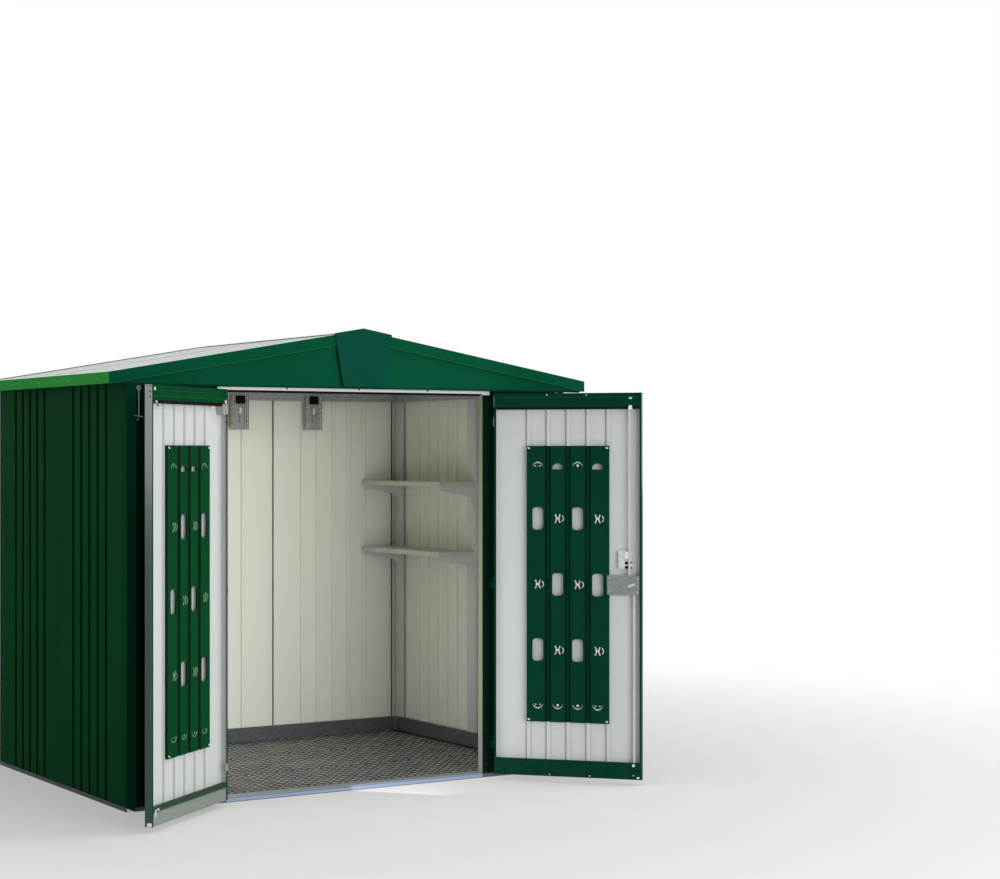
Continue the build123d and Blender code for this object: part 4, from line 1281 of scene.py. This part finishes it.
class SHED_OT_fittings(bpy.types.Operator):
    """Fits the tabs, rod guides, rivets and hinge plates of the doors"""

    bl_idname = "shed.fittings"
    bl_label = "Fit the doors"

    def execute(self, context):
        for name, level, more in (
            ("left", "leaf", self.left), ("right", "top_rail", self.right)
        ):
            leaf = Leaf(name)
            face = Face(leaf, f"{name}_door_leaf", f"{name}_door_{level}")
            white = Maker()
            for along, height, sunk, *size in TABS[name]:
                white.tab(face.seat(along, height, sunk), *size)
            if name == "left":
                sunk, height, *size = END_TAB
                white.tab(face.end_seat(sunk, height), *size)
            else:
                white.plate(face.seat(*GUIDE_PLACE), ROD_GUIDE, -2, 8)
            white.done(f"{name}_door_tabs", leaf.body, white_moulding(), edge=0.6)
            more(face)
        return {"FINISHED"}

    def left(self, face):
        dark, steel = Maker(), Maker()
        for drop in EDGE_DROPS:
            dark.rivet(face.end_seat(EDGE_DEPTH, -drop), 3.2 * MM)
        along, height, *size = DARK_TAB
        dark.tab(face.seat(along, height), *size)
        middle, *_, top = HINGE_PLATES[0]
        for drop in PLATE_DROPS:
            dark.rivet(face.seat(middle, -drop, -top), RIVET_RADIUS)
        for along, height, sunk, wide, tall, corner, low, high in HINGE_PLATES:
            steel.plate(face.seat(along, height, sunk), rounded(wide, tall, corner), low, high)
        body = face.leaf.body
        dark.done("left_door_dark_rivets", body, black_moulding(), "dark_metal")
        steel.done("left_door_hinge_plates", body, galvanised(), "galvanised_steel", 0.5)

    def right(self, face):
        steel = Maker()
        for along, height in RAIL_RIVETS:
            steel.rivet(face.seat(along, height), RIVET_RADIUS, 14)
        steel.done("right_door_rivets", face.leaf.body, bright_steel(), "galvanised_steel")


# Lock case in millimetres: place along and up, width, height and thickness
LOUVRES = [(14, 12 + 10 * i, 22, 2.8, 2.2) for i in range(6)]
COVER = (40, -20, 22, 32, 4.5)
WINDOWS = ((40, 6, 19, 12.5, 1.2), (40, 25, 19, 12.5, 1.2))
# The same, with the place along counted from the end of the leaf
EDGE_WINDOWS = ((-53, 4, 10, 9, 1.2), (-53, 28, 10, 9, 1.2))
# Rivets of the band, in from its ends and from its edges
BAND_INSET, BAND_MARGIN = 12, 14


class SHED_OT_lock(bpy.types.Operator):
    """Details the lock's case and band"""

    bl_idname = "shed.lock"
    bl_label = "Detail the lock"

    def execute(self, context):
        leaf = Leaf("right")
        case = Face(leaf, "right_door_lock_case")
        end = (leaf.reach("right_door_leaf", leaf.along)[1] - case.start) / MM
        pale, dark = Maker(), Maker()
        for along, height, *size in (*LOUVRES, COVER):
            pale.tab(case.seat(along, height), *size)
        for along, height, *size in WINDOWS:
            dark.tab(case.seat(along, height), *size)
        for along, height, *size in EDGE_WINDOWS:
            dark.tab(case.seat(end + along, height), *size)
        pale.done("lock_case_cover", leaf.body, white_moulding(), edge=0.5)
        dark.done("lock_case_windows", leaf.body, black_moulding(), "dark_metal", 0.3)
        band = Face(leaf, "right_door_lock_plate")
        heads = [
            band.seat(along, height) for along in (BAND_INSET, -BAND_INSET)
            for height in (BAND_MARGIN, -BAND_MARGIN)
        ]
        rivets("lock_band_rivets", leaf.body, heads)
        return {"FINISHED"}


# A hanger in millimetres: its width; the place below its head, width, height, corner radius and
# thickness of its pad and eye; its ribs' places and radii; its rivets' places
HANGER_WIDTH = 100
PAD = (26, 52, 42, 6, 7)
EYE = (83, 13, 34, 6, 0.8)
HANGER_RIBS = ((41, 3), (30, 1.8))
RIB_MARGIN = 6
HANGER_RIVETS = ((-22, 52), (22, 52), (-22, 150), (22, 150))


def below(head, across, drop):
    """A seat on an upright face, in millimetres across and down from a place."""
    return seat(head + Vector((across, 0, -drop)) * MM, FRONT)


class SHED_OT_hangers(bpy.types.Operator):
    """Details the tool hangers on the back top rail"""

    bl_idname = "shed.hangers"
    bl_label = "Detail the hangers"

    def execute(self, context):
        low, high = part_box("tool_hangers")
        inset, margin = HANGER_WIDTH / 2 * MM, RIB_MARGIN * MM
        heights = spread(low.z + margin, high.z - margin, 3)
        dark, steel, light = Maker(), Maker(), Maker()
        for middle in (low.x + inset, high.x - inset):
            head = Vector((middle, low.y, high.z))
            for maker, (drop, wide, tall, corner, thick) in ((dark, PAD), (light, EYE)):
                maker.plate(below(head, 0, drop), rounded(wide, tall, corner), -1, thick)
            for side in (-1, 1):
                for reach, radius in HANGER_RIBS:
                    x = middle + side * reach * MM
                    steel.wire([(x, low.y, z) for z in heights], radius * MM)
            for across, drop in HANGER_RIVETS:
                steel.rivet(below(head, across, drop), 3 * MM)
        light.done("hanger_eyes", "shed", white_moulding())
        dark.done("hanger_pads", "shed", rubber(), "dark_metal", 1)
        steel.done("hanger_ribs", "shed", bright_steel(), "galvanised_steel")
        return {"FINISHED"}


# Outlines as (back, up) in millimetres: the drip edge from the foot of the gable's front, and
# the top of the sill's face from the head of the sill's front
DRIP_EDGE = ((1, 0), (1, -8), (2.5, -8), (2.5, -1.5), (20, -1.5), (20, 0))
SILL_HEAD = ((-0.2, -7), (-0.8, -7), (-3, -9))
# The foot of the sill's face, from the foot of the base rails
SILL_FOOT = ((-3, 4), (-0.6, 2))
# Seals of the lintel: back from its front, up from its foot, and radius
LINTEL_SEALS = ((-1, 2, 3.2), (18, -1, 3.5))
# Zinc ends beside the right hinge, made bright as a painted glint of its edge: height above ground,
# width and height
HINGE_ENDS_PAINTED_GLINT = ((1653, 8, 46), (1748, 5, 52))


def outline(y, z, points):
    """Points of (back, up) in millimetres from a place."""
    return [(y + back * MM, z + rise * MM) for back, rise in points]


class SHED_OT_doorway_trim(bpy.types.Operator):
    """Adds the drip edge, the bright hinge ends, which are partly a painted glint, the seals and
    the sill's face round the doorway
    """

    bl_idname = "shed.doorway_trim"
    bl_label = "Trim the doorway"

    def execute(self, context):
        drip, ends, seal, face = Maker(), Maker(), Maker(), Maker()
        low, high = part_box("gable_front")
        inset = 20 * MM
        # The drip edge is a folded lip in the darker door coat, set where the gable's foot casts
        # shade: partly a real lip, partly painted shade.
        drip.bar(outline(low.y, low.z, DRIP_EDGE), low.x + inset, high.x - inset)
        drip.done("gable_drip_edge", "shed", door_coat(), "green_paint", 0.4)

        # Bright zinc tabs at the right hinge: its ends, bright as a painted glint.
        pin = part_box("hinge_pins_right")[0]
        for height, wide, tall in HINGE_ENDS_PAINTED_GLINT:
            ends.tab(seat((pin.x + 2 * MM, pin.y - 4 * MM, height * MM), FRONT), wide, tall)
        ends.done("right_hinge_ends", "shed", pale_metal("Bright zinc", "upright_zinc"), edge=0.5)

        low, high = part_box("door_lintel")
        inset = 45 * MM
        for back, rise, radius in LINTEL_SEALS:
            y, z = low.y + back * MM, low.z + rise * MM
            line = [(x, y, z) for x in spread(low.x + inset, high.x - inset, 5)]
            seal.wire(line, radius * MM)
        seal.done("lintel_seals", "shed", rubber(), "dark_metal")

        low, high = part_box("door_sill")
        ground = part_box("base_rails")[0].z
        rim = outline(low.y, high.z, SILL_HEAD) + outline(low.y, ground, SILL_FOOT)
        face.bar(rim, low.x, high.x)
        material = drawn_aluminium("Sill face", "sill_face")
        face.done("sill_face", "shed", material, "aluminium_trim", 0.3)
        return {"FINISHED"}


# Top rails in millimetres: depth of the dark strip below, which is painted shade, and fold lines
# below the head, drawn as pale wires that are painted highlights
RAIL_SHADE_AND_HIGHLIGHTS = {"left": (15, (22, 44)), "right": (11, (20,))}


class SHED_OT_folds(bpy.types.Operator):
    """Adds dark strips below the top rails as painted shade, and pale green wires along the folds
    of the rails and barge strips as painted highlights
    """

    bl_idname = "shed.folds"
    bl_label = "Fold the edges"

    def execute(self, context):
        highlight = green_coat("Fold highlight", "fold_coat")
        for name, (depth, drops) in RAIL_SHADE_AND_HIGHLIGHTS.items():
            leaf = Leaf(name)
            rail = Face(leaf, f"{name}_door_top_rail")
            run = (rail.end - rail.start) / MM
            seal, fold = Maker(), Maker()
            # A dark strip in the rubber colour along the rail's foot, where its underside lies in
            # shade: painted shade.
            seal.plate(rail.seat(run / 2, depth / 2), rounded(run - 4, depth, 3), -1, 0.7)
            seal.done(f"{name}_door_rail_seal", leaf.body, rubber(), "dark_metal", 0.3)
            # Pale green wires along the rail's folds: painted highlights.
            for drop in drops:
                fold.wire([rail.point(x, -drop) for x in spread(6, run - 6, 3)], 1.1 * MM)
            fold.done(f"{name}_door_rail_folds", leaf.body, highlight, "green_paint")

        # Pale green wires along the lower edges of the barge strips: painted highlights.
        edges = Maker()
        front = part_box("barge_strips_front")[0].y + 1 * MM
        for side in (-1, 1):
            points = [
                v.co for v in frame["nodes"]["barge_strips_front"].data.vertices
                if v.co.x * side > 0 and v.co.y < front
            ]
            near, far = min(abs(p.x) for p in points), max(abs(p.x) for p in points)
            tolerance = 4 * MM
            inner = min((p for p in points if abs(p.x) < near + tolerance), key=lambda p: p.z)
            outer = min((p for p in points if abs(p.x) > far - tolerance), key=lambda p: p.z)
            edges.wire([inner, (inner + outer) / 2, outer], 1.4 * MM)
        edges.done("barge_folds", "shed", highlight, "green_paint")
        return {"FINISHED"}


# Bracket of a hook in millimetres: outwards from the hook, forward from the wall, up
HOOK_BRACKET = ((-20, 0, -4), (-18, 10, -3), (0, 11, -2), (13, 10, 1), (15, 0, 2))


class SHED_OT_hook_eyes(bpy.types.Operator):
    """Bends the eyes and brackets of the door hooks"""

    bl_idname = "shed.hook_eyes"
    bl_label = "Hang the door hooks"

    def execute(self, context):
        low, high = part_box("door_hooks")
        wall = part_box("front_wall_left")[0].y
        foot, eye, wire = low.z + 4 * MM, 9 * MM, 2.2 * MM
        steel = Maker()
        for side, x in ((-1, low.x + 2.5 * MM), (1, high.x - 2.5 * MM)):
            middle = Vector((x, wall - 10 * MM, high.z - 11 * MM))
            turns = spread(0, 2 * pi, 17)
            steel.wire([middle + eye * Vector((sin(t), 0, cos(t))) for t in turns], wire)
            bracket = [
                (x + side * out * MM, wall - forward * MM, foot + rise * MM)
                for out, forward, rise in HOOK_BRACKET
            ]
            steel.wire(bracket, wire)
            for z in (foot - 14 * MM, high.z - 2 * MM):
                steel.rivet(seat((x, wall, z), FRONT), 4 * MM)
        steel.done("hook_eyes", "shed", galvanised(), "galvanised_steel")
        return {"FINISHED"}


# Lamps: name, setting of the power, width and height, turn and rise in degrees, distance
LAMPS = (
    ("front_light", "fill", (9.0, 3.6), (5, 5), 13.0),
    ("top_light", "top", (7.0, 7.0), (0, 82), 7.0),
    ("side_light", "key", (3.5, 3.5), (62, 38), 7.5),
)
LIT_POINT = Vector((0, 0, 0.95))
FLOOR_REACH = 60.0


class SHED_OT_studio(bpy.types.Operator):
    """Lays the studio floor and sets its soft lights and white background"""

    bl_idname = "shed.studio"
    bl_label = "Set up the studio"

    def execute(self, context):
        studio = context.scene.shed_studio
        data = bpy.data.meshes.new("studio_floor")
        corners = [(-1, -1, 0), (1, -1, 0), (1, 1, 0), (-1, 1, 0)]
        data.from_pydata([FLOOR_REACH * Vector(c) for c in corners], [], [(0, 1, 2, 3)])
        floor = bpy.data.objects.new("studio_floor", data)
        context.scene.collection.objects.link(floor)
        data.materials.append(floor_material(studio))

        for name, setting, size, way, distance in LAMPS:
            lamp = soft_light(name, getattr(studio, setting), size)
            lamp.location = LIT_POINT + direction(*way) * distance
            lamp.rotation_euler = direction(*way).to_track_quat("Z", "Y").to_euler()
        low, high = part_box("door_lintel")
        lamp = soft_light("doorway_light", studio.inner, (1.1, 1.4))
        lamp.location = (-0.12, high.y + 50 * MM, 0.3 * low.z)
        lamp.rotation_euler = (pi / 2, 0, radians(-48))

        world = bpy.data.worlds.new("Studio")
        context.scene.world = world
        world.use_nodes = True
        graph = Graph(world.node_tree)
        path = graph.add("ShaderNodeLightPath").outputs
        seen = graph.math("MAXIMUM", path["Is Camera Ray"], path["Is Glossy Ray"])
        seen = graph.math("MAXIMUM", seen, path["Is Transmission Ray"])
        strength = graph.span(seen, 0.0, 1.0, studio.ambient, 1.0)
        graph.fill(graph.find("BACKGROUND"), Color=(1, 1, 1, 1), Strength=strength)
        context.scene.view_settings.view_transform = "Standard"
        return {"FINISHED"}


def direction(turn, rise):
    """A direction from the shed: turned from the front to the right, and raised, in degrees."""
    turn, rise = radians(turn), radians(rise)
    return Vector((sin(turn) * cos(rise), -cos(turn) * cos(rise), sin(rise)))


def soft_light(name, watts, size):
    """A rectangular lamp that is neither seen nor mirrored."""
    lamp = bpy.data.lights.new(name, "AREA")
    lamp.shape = "RECTANGLE"
    lamp.size, lamp.size_y = size
    lamp.energy = watts
    holder = bpy.data.objects.new(name, lamp)
    holder.visible_camera = False
    holder.visible_glossy = False
    bpy.context.scene.collection.objects.link(holder)
    return holder


def floor_material(studio):
    """A pale floor that keeps the shadow near the shed and fades to white away from it."""
    material, graph, shader, position = new_material("Studio floor")
    tone = tuple(studio.floor)
    cloud = graph.cloud(position, 2.0, 3.0)
    graph.fill(
        shader, Base_Color=graph.mix(cloud, tone, tint(tone, 0.99)), Roughness=0.9,
        Specular_IOR_Level=0.1,
    )
    away = graph.vector("LENGTH", position)
    far = graph.span(away, studio.clear_from, studio.clear_to, studio.floor_lift)
    path = graph.add("ShaderNodeLightPath").outputs
    mixed = graph.add("ShaderNodeMixShader")
    graph.feed(mixed.inputs[0], graph.times(path["Is Camera Ray"], far))
    graph.feed(mixed.inputs[1], shader.outputs[0])
    graph.feed(mixed.inputs[2], graph.add("ShaderNodeEmission").outputs[0])
    graph.fill(graph.find("OUTPUT_MATERIAL"), Surface=mixed.outputs[0])
    return material


class SHED_OT_camera(bpy.types.Operator):
    """Stands the camera where the doors are seen from the front left"""

    bl_idname = "shed.camera"
    bl_label = "Place the camera"

    def execute(self, context):
        view = context.scene.shed_camera
        data = bpy.data.cameras.new("camera")
        data.sensor_width = 36
        data.lens = view.lens
        data.shift_x, data.shift_y = view.shift_x, view.shift_y
        camera = bpy.data.objects.new("camera", data)
        camera.location = view.place
        camera.rotation_euler = (pi / 2, 0, -view.turn)
        context.scene.collection.objects.link(camera)
        context.scene.camera = camera
        return {"FINISHED"}


OPERATORS = (
    SHED_OT_camera,
    SHED_OT_studio,
    SHED_OT_edges,
    SHED_OT_walls,
    SHED_OT_roof,
    SHED_OT_doors,
    SHED_OT_steelwork,
    SHED_OT_chequer,
    SHED_OT_doorway_screws,
    SHED_OT_eave_rivets,
    SHED_OT_boards,
    SHED_OT_fittings,
    SHED_OT_lock,
    SHED_OT_hangers,
    SHED_OT_doorway_trim,
    SHED_OT_folds,
    SHED_OT_hook_eyes,
)


class SHED_PT_panel(bpy.types.Panel):
    """Lists the steps that dress the shed"""

    bl_idname = "SHED_PT_panel"
    bl_label = "Metal storage shed"
    bl_space_type = "VIEW_3D"
    bl_region_type = "UI"
    bl_category = "Shed"

    def draw(self, context):
        for operator in OPERATORS:
            self.layout.operator(operator.bl_idname)
        for name, settings in SETTINGS:
            box = self.layout.box()
            for item in settings.__annotations__:
                box.prop(getattr(context.scene, name), item)


def register():
    for name, settings in SETTINGS:
        bpy.utils.register_class(settings)
        setattr(bpy.types.Scene, name, PointerProperty(type=settings))
    for operator in OPERATORS:
        bpy.utils.register_class(operator)
    bpy.utils.register_class(SHED_PT_panel)


def unregister():
    bpy.utils.unregister_class(SHED_PT_panel)
    for operator in reversed(OPERATORS):
        bpy.utils.unregister_class(operator)
    for name, settings in reversed(SETTINGS):
        delattr(bpy.types.Scene, name)
        bpy.utils.unregister_class(settings)


def main():
    register()
    for operator in OPERATORS:
        group, _, step = operator.bl_idname.partition(".")
        getattr(getattr(bpy.ops, group), step)()


if __name__ == "__main__":
    main()
